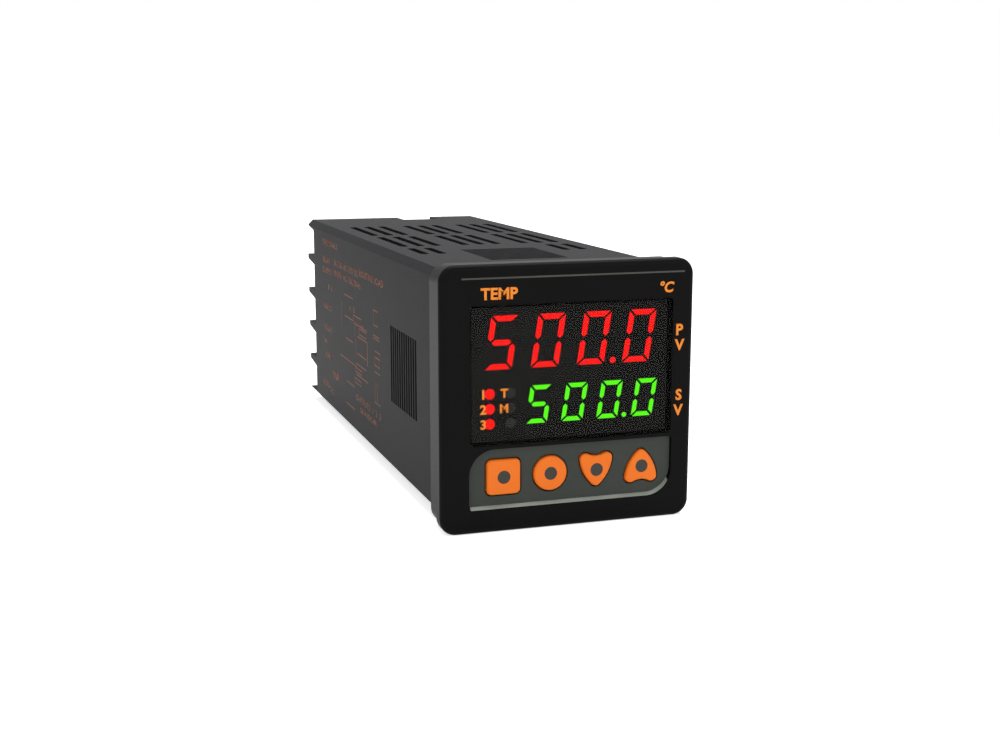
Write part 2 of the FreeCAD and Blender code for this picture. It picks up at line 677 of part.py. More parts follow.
def vent_slots(z_low, z_high):
    """Three columns of slots; the middle column leaves room for the ribs."""
    slots = []
    middle = (VENT_SLOTS_PER_COLUMN - 1) / 2
    for column in (-1, 0, 1):
        rows = [VENT_REAR_ROW, VENT_MIDDLE_ROW]
        if column != 0:
            rows.append(VENT_FRONT_ROW)
        for row in rows:
            for number in range(VENT_SLOTS_PER_COLUMN):
                if row is VENT_FRONT_ROW and number == (0 if column > 0 else VENT_SLOTS_PER_COLUMN - 1):
                    continue
                x = column * VENT_COLUMN_PITCH + (number - middle) * VENT_SLOT_PITCH
                slots.append(vent_slot(x, row, z_low, z_high))
    return slots


def rib_grooves():
    """Grooves that leave ratchet ribs on the top face, for the panel clamp."""
    half = RIB_PATCH_WIDTH / 2
    z = (HALF_HOUSING - RIB_GROOVE_DEPTH, HALF_HOUSING + OVERCUT)
    grooves = []
    for number in range(RIB_GROOVES):
        start = RIB_PATCH_START + number * RIB_PITCH
        grooves.append(box((-half, half), (start, start + RIB_GROOVE_WIDTH), z))
    return Part.makeCompound(grooves)


def guide_rails():
    """Pairs of short rails that hold the edges of the two long boards."""
    rails = []
    reach = BOARD_THICKNESS / 2 + RAIL_CLEARANCE
    spans = [(RAIL_FRONT_START, RAIL_FRONT_START + RAIL_FRONT_LENGTH),
             (BLOCK_FRONT_Y - RAIL_REAR_LENGTH - FIT, BLOCK_FRONT_Y - FIT)]
    for board_x in (POWER_BOARD_X, IO_BOARD_X):
        for side in (-1, 1):
            edge = board_x + side * reach
            x = tuple(sorted((edge, edge + side * RAIL_WIDTH)))
            for span in spans:
                rails.append(box(x, span, (HALF_BORE - RAIL_HEIGHT, HALF_BORE)))
                rails.append(box(x, span, (-HALF_BORE, RAIL_HEIGHT - HALF_BORE)))
    return rails


def housing_sleeve():
    shell = prism(bevelled_square(HALF_HOUSING, LONG_EDGE_BEVEL), 0, SLEEVE_END_Y)
    shell = shell.cut(prism(bevelled_square(HALF_BORE, INNER_EDGE_BEVEL), 0, SLEEVE_END_Y))
    shell = fused([shell] + guide_rails())
    cuts = vent_slots(HALF_BORE, HALF_HOUSING) + vent_slots(-HALF_HOUSING, -HALF_BORE)
    grooves = rib_grooves()
    for quarter in range(4):
        turned = grooves.copy()
        turned.rotate(Vector(0, 0, 0), Vector(0, 1, 0), quarter * 90)
        cuts.extend(turned.Solids)
    nib_end = SPIGOT_DEPTH + HOOK_LENGTH
    reach = HALF_SPIGOT + HOOK_NIB + FIT
    half = HOOK_WIDTH / 2 + FIT
    cuts.append(box((-reach, reach), (nib_end - HOOK_NIB_LENGTH - FIT, nib_end + FIT), (-half, half)))
    return shell.cut(Part.makeCompound(cuts))


# ---- Rear terminals -------------------------------------------------------
# Each column: the board face its tags lie on, and which way they reach.
COLUMNS = (
    (POWER_BOARD_X - BOARD_THICKNESS / 2, -1),
    (POWER_BOARD_X + BOARD_THICKNESS / 2, 1),
    (IO_BOARD_X + BOARD_THICKNESS / 2, 1),
)


def bay_bounds(index):
    """Left and right of the bays in one column."""
    if index == 0:
        return -BAY_REACH, POWER_BOARD_X - BARRIER_WALL / 2
    if index == 1:
        return POWER_BOARD_X + BARRIER_WALL / 2, PAIR_EDGE_X - BARRIER_WALL
    return SINGLE_EDGE_X + BARRIER_WALL, BAY_REACH


def fin_top_z(number):
    """Top of one fin; number 0 is the roof ledge and the last is the floor ledge."""
    return HALF_HOUSING - number * BAY_PITCH


def bay_heights(row):
    """Bottom and top of one row of bays."""
    return max(fin_top_z(row + 1), -BAY_REACH), min(fin_top_z(row) - FIN_ROOT, BAY_REACH)


def bay_centre_z(row):
    return sum(bay_heights(row)) / 2


def fin(number, x):
    """Barrier fin, flat on top, sloping up below to a rounded tip."""
    top = fin_top_z(number)
    root = top - FIN_ROOT
    tip = top - FIN_TIP
    if number == TERMINAL_ROWS:
        root = tip = -HALF_HOUSING
    start = SLEEVE_END_Y
    end = HOUSING_LENGTH + FIN_LENGTH
    profile = [Vector(x[0], start, root), Vector(x[0], HOUSING_LENGTH, root), Vector(x[0], end, tip),
               Vector(x[0], end, top), Vector(x[0], start, top)]
    face = Part.Face(Part.makePolygon(profile + profile[:1]))
    body = face.extrude(Vector(x[1] - x[0], 0, 0))
    tips = [edge for edge in edges_in_plane(body, end) if edge.BoundBox.XLength > 1e-3]
    return body.makeFillet(FIN_TIP_RADIUS, tips)


def terminal_block():
    """Rim and plug that close the sleeve, with bays, barrier fins and upright walls."""
    rim = prism(bevelled_square(HALF_HOUSING, LONG_EDGE_BEVEL), SLEEVE_END_Y, HOUSING_LENGTH)
    plug = prism(bevelled_square(HALF_SPIGOT, INNER_EDGE_BEVEL), BLOCK_FRONT_Y, SLEEVE_END_Y)
    body = fused([rim, plug])
    pockets = []
    for column in range(len(COLUMNS)):
        for row in range(TERMINAL_ROWS):
            pockets.append(box(bay_bounds(column), (BAY_FLOOR_Y, HOUSING_LENGTH), bay_heights(row)))
    body = body.cut(Part.makeCompound(pockets))
    additions = [body]
    for number in range(TERMINAL_ROWS + 1):
        additions.append(fin(number, (-HALF_HOUSING, PAIR_EDGE_X)))
        additions.append(fin(number, (SINGLE_EDGE_X, HALF_HOUSING)))
    wall_y = (HOUSING_LENGTH - BLOCK_RIM, HOUSING_LENGTH + FIN_LENGTH - BARRIER_INSET)
    wall_z = (FIN_TIP / 2 - HALF_HOUSING, HALF_HOUSING - FIN_TIP / 2)
    for left in (POWER_BOARD_X - BARRIER_WALL / 2, PAIR_EDGE_X - BARRIER_WALL, SINGLE_EDGE_X):
        additions.append(box((left, left + BARRIER_WALL), wall_y, wall_z))
    body = fused(additions)
    body = body.common(prism(bevelled_square(HALF_HOUSING, LONG_EDGE_BEVEL), BLOCK_FRONT_Y,
                             HOUSING_LENGTH + FIN_LENGTH))
    holes = []
    for face_x, direction, row in terminal_places():
        screw_x = face_x + direction * SCREW_OFFSET
        z = bay_centre_z(row)
        holes.append(rod(screw_x, z, SCREW_RADIUS + FIT, BLOCK_FRONT_Y, BAY_FLOOR_Y))
        holes.append(tag_tail(face_x, direction, z, SEAT_GAP, BLOCK_FRONT_Y))
    return body.cut(Part.makeCompound(holes))


def terminal_places():
    """Board face, direction and row of every terminal."""
    return [(face_x, direction, row) for face_x, direction in COLUMNS for row in range(TERMINAL_ROWS)]


def tag_tail(face_x, direction, z, grow, start_y):
    """The tag's leg along the board, or its slot when grown."""
    x = sorted((face_x - direction * grow, face_x + direction * (TAG_THICKNESS + grow)))
    half = TAG_TAIL_HEIGHT / 2 + grow
    return box(x, (start_y, BAY_FLOOR_Y), (z - half, z + half))


def terminal_tags():
    """Bent brass tags: a drilled seat in each bay and a leg soldered to the board."""
    tags = []
    for face_x, direction, row in terminal_places():
        z = bay_centre_z(row)
        x = sorted((face_x, face_x + direction * TAG_WIDTH))
        half = TAG_HEIGHT / 2
        seat = box(x, (BAY_FLOOR_Y, BAY_FLOOR_Y + TAG_THICKNESS), (z - half, z + half))
        tail = tag_tail(face_x, direction, z, 0.0, BAY_FLOOR_Y - TAG_TAIL_LENGTH)
        screw_x = face_x + direction * SCREW_OFFSET
        tap = rod(screw_x, z, SCREW_RADIUS + RUNNING_FIT, BAY_FLOOR_Y, BAY_FLOOR_Y + TAG_THICKNESS)
        tags.append(fused([seat, tail]).cut(tap))
    return Part.makeCompound(tags)


def clamp_plates():
    """Square clamp washers under the screw heads."""
    plates = []
    back = BAY_FLOOR_Y + TAG_THICKNESS
    half = CLAMP_SIZE / 2
    height = TAG_HEIGHT / 2
    for face_x, direction, row in terminal_places():
        x = face_x + direction * SCREW_OFFSET
        z = bay_centre_z(row)
        plate = box((x - half, x + half), (back, back + CLAMP_THICKNESS), (z - height, z + height))
        plates.append(plate.cut(rod(x, z, SCREW_RADIUS + RUNNING_FIT, back, back + CLAMP_THICKNESS)))
    return Part.makeCompound(plates)


def terminal_screws():
    """Slotted pan-head terminal screws."""
    screws = []
    seat = BAY_FLOOR_Y + TAG_THICKNESS + CLAMP_THICKNESS
    crown = seat + SCREW_HEAD_HEIGHT
    for face_x, direction, row in terminal_places():
        x = face_x + direction * SCREW_OFFSET
        z = bay_centre_z(row)
        head = rod(x, z, SCREW_HEAD_RADIUS, seat, crown)
        head = head.makeFillet(SCREW_CROWN_RADIUS, edges_in_plane(head, crown))
        half = SLOT_WIDTH / 2
        head = head.cut(box((x - SCREW_HEAD_RADIUS, x + SCREW_HEAD_RADIUS), (crown - SLOT_DEPTH, crown),
                            (z - half, z + half)))
        screws.append(fused([head, rod(x, z, SCREW_RADIUS, seat - SCREW_LENGTH, seat)]))
    return Part.makeCompound(screws)


# ---- Boards and components ------------------------------------------------
def display_board():
    half = HALF_CAVITY - FIT
    return prism(square(half), BOARD_FRONT_Y, BOARD_BACK_Y)


def long_board(centre_x):
    """Board that stands on edge along the housing."""
    half = BOARD_THICKNESS / 2
    height = EDGE_BOARD_HALF_HEIGHT
    narrow = HALF_CAVITY - FIT
    step = RAIL_FRONT_START - BOARD_STEP_GAP
    x = (centre_x - half, centre_x + half)
    front = box(x, (EDGE_BOARD_START_Y, step), (-narrow, narrow))
    rear = box(x, (step, BLOCK_FRONT_Y), (-height, height))
    return fused([front, rear])


def board_header(face_x, direction):
    """Plug that joins a long board to the display board."""
    x = sorted((face_x, face_x + direction * HEADER_WIDTH))
    half = HEADER_HEIGHT / 2
    return box(x, (BOARD_BACK_Y, BOARD_BACK_Y + HEADER_LENGTH), (-half, half))


def controller_chip():
    half = CHIP_SIZE / 2
    return box((-half, half), (BOARD_BACK_Y, BOARD_BACK_Y + CHIP_THICKNESS), (-half, half))


def transformer_core():
    """Three-legged ferrite core."""
    x = POWER_FACE_X + (WINDING_DEPTH - CORE_DEPTH) / 2
    y = (TRANSFORMER_Y - CORE_LENGTH / 2, TRANSFORMER_Y + CORE_LENGTH / 2)
    core = box((x, x + CORE_DEPTH), y, (-CORE_HEIGHT / 2, CORE_HEIGHT / 2))
    reach = CORE_HEIGHT / 2 - CORE_YOKE
    for side in (-1, 1):
        span = sorted((TRANSFORMER_Y + side * CORE_LEG / 2,
                       TRANSFORMER_Y + side * (CORE_LENGTH / 2 - CORE_YOKE)))
        core = core.cut(box((x, x + CORE_DEPTH), span, (-reach, reach)))
    return core


def transformer_winding():
    """Winding on the core's middle leg, standing on the board."""
    x = POWER_FACE_X + (WINDING_DEPTH - CORE_DEPTH) / 2
    reach = CORE_HEIGHT / 2 - CORE_YOKE - WINDING_GAP
    width = CORE_LENGTH / 2 - CORE_YOKE - WINDING_GAP
    body = box((POWER_FACE_X, POWER_FACE_X + WINDING_DEPTH), (TRANSFORMER_Y - width, TRANSFORMER_Y + width),
               (-reach, reach))
    half = CORE_LEG / 2 + WINDING_GAP
    return body.cut(box((x - WINDING_GAP, x + CORE_DEPTH + WINDING_GAP),
                        (TRANSFORMER_Y - half, TRANSFORMER_Y + half), (-reach, reach)))


def smoothing_capacitor():
    """Round capacitor lying along the power board, with a rolled groove."""
    x = POWER_FACE_X + CAPACITOR_RADIUS
    start = BLOCK_FRONT_Y - CAPACITOR_PLACE
    can = rod(x, CAPACITOR_Z, CAPACITOR_RADIUS, start, start + CAPACITOR_LENGTH)
    groove = start + CAPACITOR_GROOVE_PLACE
    groove_end = groove + CAPACITOR_GROOVE_WIDTH
    band = rod(x, CAPACITOR_Z, CAPACITOR_RADIUS + OVERCUT, groove, groove_end)
    core = rod(x, CAPACITOR_Z, CAPACITOR_RADIUS - CAPACITOR_GROOVE_DEPTH, groove, groove_end)
    return can.cut(band.cut(core))


def standing_part(face_x, direction, size, place, low_z):
    """Box on a long board's inner face."""
    y = BLOCK_FRONT_Y - place
    x = sorted((face_x, face_x + direction * size[0]))
    return box(x, (y, y + size[1]), (low_z, low_z + size[2]))


def filter_capacitor():
    return standing_part(POWER_FACE_X, 1, FILTER_SIZE, FILTER_PLACE, FILTER_LOW_Z)


def varistor():
    place = Vector(POWER_FACE_X, BLOCK_FRONT_Y - VARISTOR_PLACE, VARISTOR_Z)
    return Part.makeCylinder(VARISTOR_RADIUS, VARISTOR_THICKNESS, place, Vector(1, 0, 0))


def relay(place):
    return standing_part(IO_FACE_X, -1, RELAY_SIZE, place, -RELAY_SIZE[2] / 2)


def signal_converter():
    return standing_part(IO_FACE_X, -1, CONVERTER_SIZE, CONVERTER_PLACE, -CONVERTER_SIZE[2] / 2)


# ---- All nodes ------------------------------------------------------------
def all_nodes():
    nodes = {
        "front_bezel": front_bezel(),
        "display_window": display_window(),
        "keypad_plate": keypad_plate(),
        "upper_readout": upper_module(),
        "upper_segments": upper_segments(),
        "lower_readout": lower_module(),
        "lower_segments": lower_segments(),
        "lamp_shroud": lamp_shroud(),
        "display_board": display_board(),
        "controller_chip": controller_chip(),
        "housing_sleeve": housing_sleeve(),
        "terminal_block": terminal_block(),
        "terminal_tags": terminal_tags(),
        "clamp_plates": clamp_plates(),
        "terminal_screws": terminal_screws(),
        "power_board": long_board(POWER_BOARD_X),
        "io_board": long_board(IO_BOARD_X),
        "power_header": board_header(POWER_FACE_X, 1),
        "io_header": board_header(IO_FACE_X, -1),
        "transformer_core": transformer_core(),
        "transformer_winding": transformer_winding(),
        "smoothing_capacitor": smoothing_capacitor(),
        "filter_capacitor": filter_capacitor(),
        "varistor": varistor(),
        "signal_converter": signal_converter(),
    }
    for name, x, z in lamp_places():
        nodes[name] = lamp(x, z)
    for index, name in enumerate(KEY_NAMES):
        nodes[f"key_{name}"] = key(index)
        nodes[f"switch_body_{name}"] = switch_body(index)
        nodes[f"switch_plunger_{name}"] = switch_plunger(index)
    for number, place in enumerate(RELAY_PLACES, start=1):
        nodes[f"output_relay_{number}"] = relay(place)
    return nodes


os.makedirs("parts", exist_ok=True)
for node_name, node_shape in all_nodes().items():
    node_shape.exportStep(f"parts/{node_name}.step")
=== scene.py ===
"""Looks of a panel-mount temperature controller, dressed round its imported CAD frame."""

import logging
import math
from dataclasses import dataclass, field
from enum import Enum

import bmesh
import bpy
from mathutils import Matrix, Vector


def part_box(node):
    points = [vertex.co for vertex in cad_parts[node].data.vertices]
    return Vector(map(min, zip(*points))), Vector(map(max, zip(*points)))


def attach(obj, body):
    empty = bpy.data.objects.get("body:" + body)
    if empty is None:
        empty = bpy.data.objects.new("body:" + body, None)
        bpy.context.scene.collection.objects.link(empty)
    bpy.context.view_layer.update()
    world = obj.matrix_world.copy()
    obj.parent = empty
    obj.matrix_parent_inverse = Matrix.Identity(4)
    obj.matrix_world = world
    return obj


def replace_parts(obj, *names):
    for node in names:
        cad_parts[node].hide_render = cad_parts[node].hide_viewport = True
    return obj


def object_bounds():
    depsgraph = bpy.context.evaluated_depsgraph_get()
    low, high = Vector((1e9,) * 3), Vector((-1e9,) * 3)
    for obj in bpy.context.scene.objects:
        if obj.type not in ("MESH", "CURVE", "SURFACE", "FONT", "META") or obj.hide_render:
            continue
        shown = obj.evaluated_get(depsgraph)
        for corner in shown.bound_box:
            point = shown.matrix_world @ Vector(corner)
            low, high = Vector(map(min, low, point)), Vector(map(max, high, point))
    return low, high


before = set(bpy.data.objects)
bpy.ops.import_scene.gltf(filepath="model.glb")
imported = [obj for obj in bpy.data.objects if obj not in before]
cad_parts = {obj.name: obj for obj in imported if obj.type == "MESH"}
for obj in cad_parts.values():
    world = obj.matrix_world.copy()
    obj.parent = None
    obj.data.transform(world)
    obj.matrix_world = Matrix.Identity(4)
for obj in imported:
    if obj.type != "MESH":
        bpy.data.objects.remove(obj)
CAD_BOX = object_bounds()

MM = 0.001
LOG = logging.getLogger("temperature_controller")

# Depth of the noises and strength of the relief that every finish shares.
CLOUD_DETAIL = 3.0
GRAIN_DETAIL = 2.0
RELIEF_STRENGTH = 0.6
# How near two points are before they count as one: in metres for solids, else in millimetres.
SOLID_SEAM = 1e-6
PRINT_SEAM_MM = 0.002
STRIP_SEAM_MM = 1e-4
LETTER_CURVE_STEPS = 3
MASK_MM = 0.02


def linear(colour: str) -> tuple[float, float, float, float]:
    """Turns an sRGB hex colour into linear light.

    Args:
        colour: Six hex digits after a hash.

    Returns:
        Red, green, blue and an alpha of one.
    """
    shares = [int(colour[start:start + 2], 16) / 255 for start in (1, 3, 5)]
    curve = [s / 12.92 if s <= 0.04045 else ((s + 0.055) / 1.055) ** 2.4 for s in shares]
    return (*curve, 1.0)


def add_node(tree: bpy.types.NodeTree, kind: str, inputs: dict | None = None,
             **settings) -> bpy.types.Node:
    """Adds one node with its settings, and fills or links its inputs.

    Args:
        tree: The material's or world's node tree.
        kind: The node's type name.
        inputs: Value or output socket for each input, by its name or number.
        **settings: Properties of the node itself.

    Returns:
        The new node.
    """
    node = tree.nodes.new(kind)
    for key, value in settings.items():
        setattr(node, key, value)
    for key, value in (inputs or {}).items():
        if isinstance(value, bpy.types.NodeSocket):
            tree.links.new(value, node.inputs[key])
        else:
            node.inputs[key].default_value = value
    return node


# ---- Finishes ---------------------------------------------------------------
@dataclass(frozen=True)
class Finish:
    """A surface's look: its colour, a cloudy second shade, gloss and fine relief."""

    name: str
    colour: str
    shade: str
    roughness: float
    cloud_mm: float = 14.0
    grain_mm: float = 0.35
    relief_mm: float = 0.012
    roughness_spread: float = 0.06
    specular: float = 0.5
    ior: float = 1.5

    def build(self) -> bpy.types.Material:
        """Returns the material, made once for all the pieces that share it."""
        made = bpy.data.materials.get(self.name)
        if made is not None:
            return made
        made = bpy.data.materials.new(self.name)
        made.use_nodes = True
        tree = made.node_tree
        tree.nodes.clear()
        place = add_node(tree, "ShaderNodeTexCoord").outputs["Object"]
        cloud = self.noise(tree, place, self.cloud_mm, CLOUD_DETAIL)
        grain = self.noise(tree, place, self.grain_mm, GRAIN_DETAIL)
        shader = add_node(tree, "ShaderNodeBsdfPrincipled", {
            "IOR": self.ior,
            "Specular IOR Level": self.specular,
            "Base Color": self.tint(tree, place, cloud),
            "Roughness": self.gloss(tree, grain),
            "Normal": add_node(tree, "ShaderNodeBump", {
                "Height": grain, "Distance": self.relief_mm * MM,
                "Strength": RELIEF_STRENGTH}).outputs[0],
        })
        self.extend(shader)
        add_node(tree, "ShaderNodeOutputMaterial", {"Surface": shader.outputs[0]})
        return made

    def noise(self, tree: bpy.types.NodeTree, place: bpy.types.NodeSocket, width_mm: float,
              detail: float) -> bpy.types.NodeSocket:
        """Returns the value of a noise whose features are about width_mm across."""
        return add_node(tree, "ShaderNodeTexNoise", {
            "Vector": place, "Scale": 1 / (width_mm * MM), "Detail": detail}).outputs[0]

    def tint(self, tree: bpy.types.NodeTree, place: bpy.types.NodeSocket,
             cloud: bpy.types.NodeSocket) -> bpy.types.NodeSocket:
        """Returns the colour, which drifts between the two shades."""
        return add_node(tree, "ShaderNodeMix", {
            "Factor": cloud, "A": linear(self.colour), "B": linear(self.shade)},
            data_type="RGBA").outputs["Result"]

    def gloss(self, tree: bpy.types.NodeTree, grain: bpy.types.NodeSocket) -> bpy.types.NodeSocket:
        """Returns the roughness, a little uneven with the grain."""
        return add_node(tree, "ShaderNodeMapRange", {
            "Value": grain, "To Min": self.roughness - self.roughness_spread,
            "To Max": self.roughness + self.roughness_spread}).outputs[0]

    def extend(self, shader: bpy.types.Node) -> None:
        """Sets what only this kind of finish has. A plain moulding has nothing more."""


@dataclass(frozen=True)
class Metal(Finish):
    """A metal, whose colour is in its reflection."""

    def extend(self, shader: bpy.types.Node) -> None:
        """Makes the shader a metal."""
        shader.inputs["Metallic"].default_value = 1.0


@dataclass(frozen=True)
class Clear(Finish):
    """A see-through plastic."""

    clearness: float = 1.0

    def extend(self, shader: bpy.types.Node) -> None:
        """Lets light through."""
        shader.inputs["Transmission Weight"].default_value = self.clearness


@dataclass(frozen=True)
class Glow(Finish):
    """A plastic light guide lit from behind, or a dark plastic given a painted glow."""

    light: str = "#ffffff"
    strength: float = 1.0

    def extend(self, shader: bpy.types.Node) -> None:
        """Adds the light that leaves it."""
        shader.inputs["Emission Color"].default_value = linear(self.light)
        shader.inputs["Emission Strength"].default_value = self.strength


@dataclass(frozen=True)
class BoardFinish(Finish):
    """Glass-epoxy board under solder resist, with copper tracks that show as lighter lines."""

    track: str = "#2f7a46"
    track_mm: float = 1.3
    track_share: float = 0.12

    def tint(self, tree: bpy.types.NodeTree, place: bpy.types.NodeSocket,
             cloud: bpy.types.NodeSocket) -> bpy.types.NodeSocket:
        """Returns resist crossed by tracks on a grid whose lines wander."""
        base = Finish.tint(self, tree, place, cloud)
        lines = add_node(tree, "ShaderNodeTexBrick", {
            "Vector": place, "Scale": 1 / (self.track_mm * MM), "Mortar Size": self.track_share,
            "Color1": (0, 0, 0, 1), "Color2": (0, 0, 0, 1), "Mortar": (1, 1, 1, 1)})
        return add_node(tree, "ShaderNodeMix", {
            "Factor": lines.outputs[0], "A": base, "B": linear(self.track)},
            data_type="RGBA").outputs["Result"]


# Flame-retardant ABS from a spark-eroded mould: charcoal, with a low grey sheen at a slant.
HOUSING_ABS = Finish("abs_charcoal_spark_eroded_housing", "#202022", "#262628", 0.46, specular=0.014,
                     grain_mm=0.30, relief_mm=0.010)
# The same plastic, blacker, from a smoother mould half: a softer edge light.
BEZEL_ABS = Finish("abs_black_satin_bezel", "#0f0e0e", "#121111", 0.36, specular=0.032, grain_mm=0.25,
                   relief_mm=0.004)
# Cast acrylic with a smoke tint: what is unlit behind it sinks into grey-black.
SMOKED_ACRYLIC = Clear("acrylic_smoked_window", "#9c9c98", "#98989a", 0.02, roughness_spread=0.01,
                       specular=0.5, grain_mm=4.0, relief_mm=0.0002, ior=1.13)
# Printed polycarbonate keypad sheet in mid grey with a trace of green, matt and even.
KEYPAD_GREY = Finish("polycarbonate_grey_matt_keypad", "#343834", "#3f433e", 0.55, specular=0.12,
                     cloud_mm=22.0, grain_mm=0.22, relief_mm=0.006)
# Painted highlight: a light grey strip on the slope under the keypad sheet stands in for the light that the
# sheet's lower edge catches.
KEYPAD_EDGE_HIGHLIGHT = Finish("polycarbonate_grey_painted_edge_highlight", "#858d84", "#6d746c", 0.35, specular=0.3,
                     cloud_mm=7.0, grain_mm=0.2, relief_mm=0.003)
# Moulded silicone keys, saturated orange with a soft top light.
KEY_ORANGE = Finish("silicone_orange_moulded_key", "#ea701b", "#ec7724", 0.5, grain_mm=0.2,
                    relief_mm=0.005, specular=0.18)
# Screen-printed marks: solid pigment, slightly ragged in gloss.
INK_ORANGE = Finish("ink_orange_screen_printed", "#f28f36", "#ec8830", 0.6, cloud_mm=1.5, grain_mm=0.12,
                    relief_mm=0.003, specular=0.1)
# Pad print worn thin: the charcoal shows through the orange in places.
INK_BROWN = Finish("ink_orange_thin_pad_printed", "#8a4a28", "#4d3a33", 0.55, cloud_mm=2.0, grain_mm=0.15,
                   relief_mm=0.003, specular=0.06)
# Dark grey spot printed in the middle of each key.
INK_GREY = Finish("ink_dark_grey_key_mark", "#44433e", "#3e3d39", 0.6, cloud_mm=0.8, grain_mm=0.12,
                  relief_mm=0.003, specular=0.1)
# Painted highlight: a flat light grey line along the top of the front stands in for the light that a
# shallow raised rib there catches.
LEDGE_HIGHLIGHT_GREY = Finish("abs_black_painted_ledge_highlight", "#4e4e48", "#2c2b29", 0.3, cloud_mm=16.0, grain_mm=0.2,
                    relief_mm=0.003, specular=0.2)
# Diffusing epoxy over the diodes: even, saturated light.
LIT_RED = Glow("epoxy_red_lit_segment", "#b80d04", "#a80c04", 0.5, light="#ff0700", strength=3.0)
LIT_GREEN = Glow("epoxy_green_lit_segment", "#2c9a10", "#289010", 0.5, light="#58ff00", strength=3.0)
# The same lamps unlit: smoked epoxy with a dull shine.
LAMP_DARK = Finish("epoxy_smoked_unlit_lamp", "#5c5c57", "#52524d", 0.35, specular=0.3)
# Black plastic round the lit segments, with a painted glow: its emission gives it an even, very faint grey
# that stands in for their stray light.
READOUT_BLACK_PAINTED_GLOW = Glow("polycarbonate_black_matt_readout_painted_glow", "#030303", "#040404", 0.7, specular=0.0,
                     light="#252523", strength=1.0)
# Green resist over glass epoxy, glossy, with the tracks showing through.
SOLDER_RESIST = BoardFinish("glass_epoxy_green_solder_resist", "#14502c", "#185a33", 0.35)
# Moulded black packages and connectors, matt to half-matt.
CHIP_EPOXY = Finish("epoxy_black_moulded_package", "#17171a", "#1c1c1f", 0.6, grain_mm=0.15)
HEADER_NYLON = Finish("nylon_black_moulded_header", "#1d1d1b", "#232321", 0.5)
# Rear terminals: tin-washed brass tags, zinc-plated clamps and nickel-plated screws.
TAG_BRASS = Metal("brass_tin_washed_tag", "#c9a75a", "#b8964c", 0.32, cloud_mm=3.0, grain_mm=0.2,
                  relief_mm=0.004)
CLAMP_STEEL = Metal("steel_zinc_plated_clamp", "#b9bcc0", "#a6a9ad", 0.34, cloud_mm=2.0, grain_mm=0.25,
                    relief_mm=0.005)
SCREW_STEEL = Metal("steel_nickel_plated_screw", "#c9c9c6", "#b2b3b0", 0.28, cloud_mm=1.5, grain_mm=0.18,
                    relief_mm=0.004)
# Parts on the boards: ground ferrite, tape, shrunk sleeve, film case and dipped disc.
FERRITE = Finish("ferrite_ground_core", "#2f2f31", "#3a3a3d", 0.55, cloud_mm=2.0)
WINDING_TAPE = Finish("polyester_yellow_winding_tape", "#d9b23c", "#cfa632", 0.4, cloud_mm=4.0)
CAPACITOR_SLEEVE = Finish("pvc_black_shrunk_sleeve", "#1c2230", "#222a3a", 0.3, cloud_mm=5.0)
FILTER_BOX = Finish("polyester_yellow_film_case", "#d8a72c", "#cd9a24", 0.4, cloud_mm=5.0)
VARISTOR_BLUE = Finish("epoxy_blue_dipped_disc", "#1f4f9c", "#1a468c", 0.35, cloud_mm=3.0)
# Relay cases, key switches and their cream plungers.
RELAY_CASE = Finish("polyester_black_relay_case", "#18191b", "#1e1f22", 0.45, cloud_mm=6.0)
SWITCH_PLASTIC = Finish("nylon_black_switch_body", "#1a1a1a", "#202020", 0.5)
PLUNGER_PLASTIC = Finish("acetal_cream_switch_plunger", "#d8d2c0", "#cdc6b2", 0.4)


@dataclass
class CadDressing:
    """Gives every solid of the CAD frame its finish."""

    finishes: dict[Finish, list[str]] = field(default_factory=lambda: {
        BEZEL_ABS: ["front_bezel"],
        HOUSING_ABS: ["housing_sleeve", "terminal_block"],
        SMOKED_ACRYLIC: ["display_window"],
        KEYPAD_GREY: ["keypad_plate"],
        KEY_ORANGE: ["key_square", "key_round", "key_down", "key_up"],
        LIT_RED: ["upper_segments", "lamp_lit_1", "lamp_lit_2", "lamp_lit_3"],
        LIT_GREEN: ["lower_segments"],
        LAMP_DARK: ["lamp_unlit_1", "lamp_unlit_2", "lamp_unlit_3"],
        # The readout plastic's faint grey is a painted glow.
        READOUT_BLACK_PAINTED_GLOW: ["upper_readout", "lower_readout", "lamp_shroud"],
        SOLDER_RESIST: ["display_board", "power_board", "io_board"],
        CHIP_EPOXY: ["controller_chip", "signal_converter"],
        HEADER_NYLON: ["power_header", "io_header"],
        TAG_BRASS: ["terminal_tags"],
        CLAMP_STEEL: ["clamp_plates"],
        SCREW_STEEL: ["terminal_screws"],
        FERRITE: ["transformer_core"],
        WINDING_TAPE: ["transformer_winding"],
        CAPACITOR_SLEEVE: ["smoothing_capacitor"],
        FILTER_BOX: ["filter_capacitor"],
        VARISTOR_BLUE: ["varistor"],
        RELAY_CASE: ["output_relay_1", "output_relay_2"],
        SWITCH_PLASTIC: ["switch_body_square", "switch_body_round", "switch_body_down", "switch_body_up"],
        PLUNGER_PLASTIC: ["switch_plunger_square", "switch_plunger_round", "switch_plunger_down",
                          "switch_plunger_up"],
    })

    def dress(self) -> None:
        """Puts each finish in its nodes' material slots."""
        for finish, names in self.finishes.items():
            for name in names:
                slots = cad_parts[name].material_slots
                for slot in slots:
                    slot.material = finish.build()
                LOG.info("%s: %s", name, finish.name)


# ---- Making pieces ------------------------------------------------------------
def add_piece(shape: bmesh.types.BMesh, name: str, finish: Finish,
              body: str = "controller") -> bpy.types.Object:
    """Turns a shape into a piece that rides on a body, and frees the shape.

    Args:
        shape: The shape, in metres.
        name: Name of the piece and of its mesh.
        finish: Its only finish.
        body: Name of the body that it moves with.

    Returns:
        The new piece.
    """
    mesh = bpy.data.meshes.new(name)
    shape.to_mesh(mesh)
    shape.free()
    mesh.materials.append(finish.build())
    piece = bpy.data.objects.new(name, mesh)
    bpy.context.scene.collection.objects.link(piece)
    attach(piece, body)
    LOG.info("%s: %d faces", name, len(mesh.polygons))
    return piece


def front_level(node: str) -> float:
    """How far a node's foremost face stands in front of the panel plane, in millimetres."""
    return -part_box(node)[0].y / MM


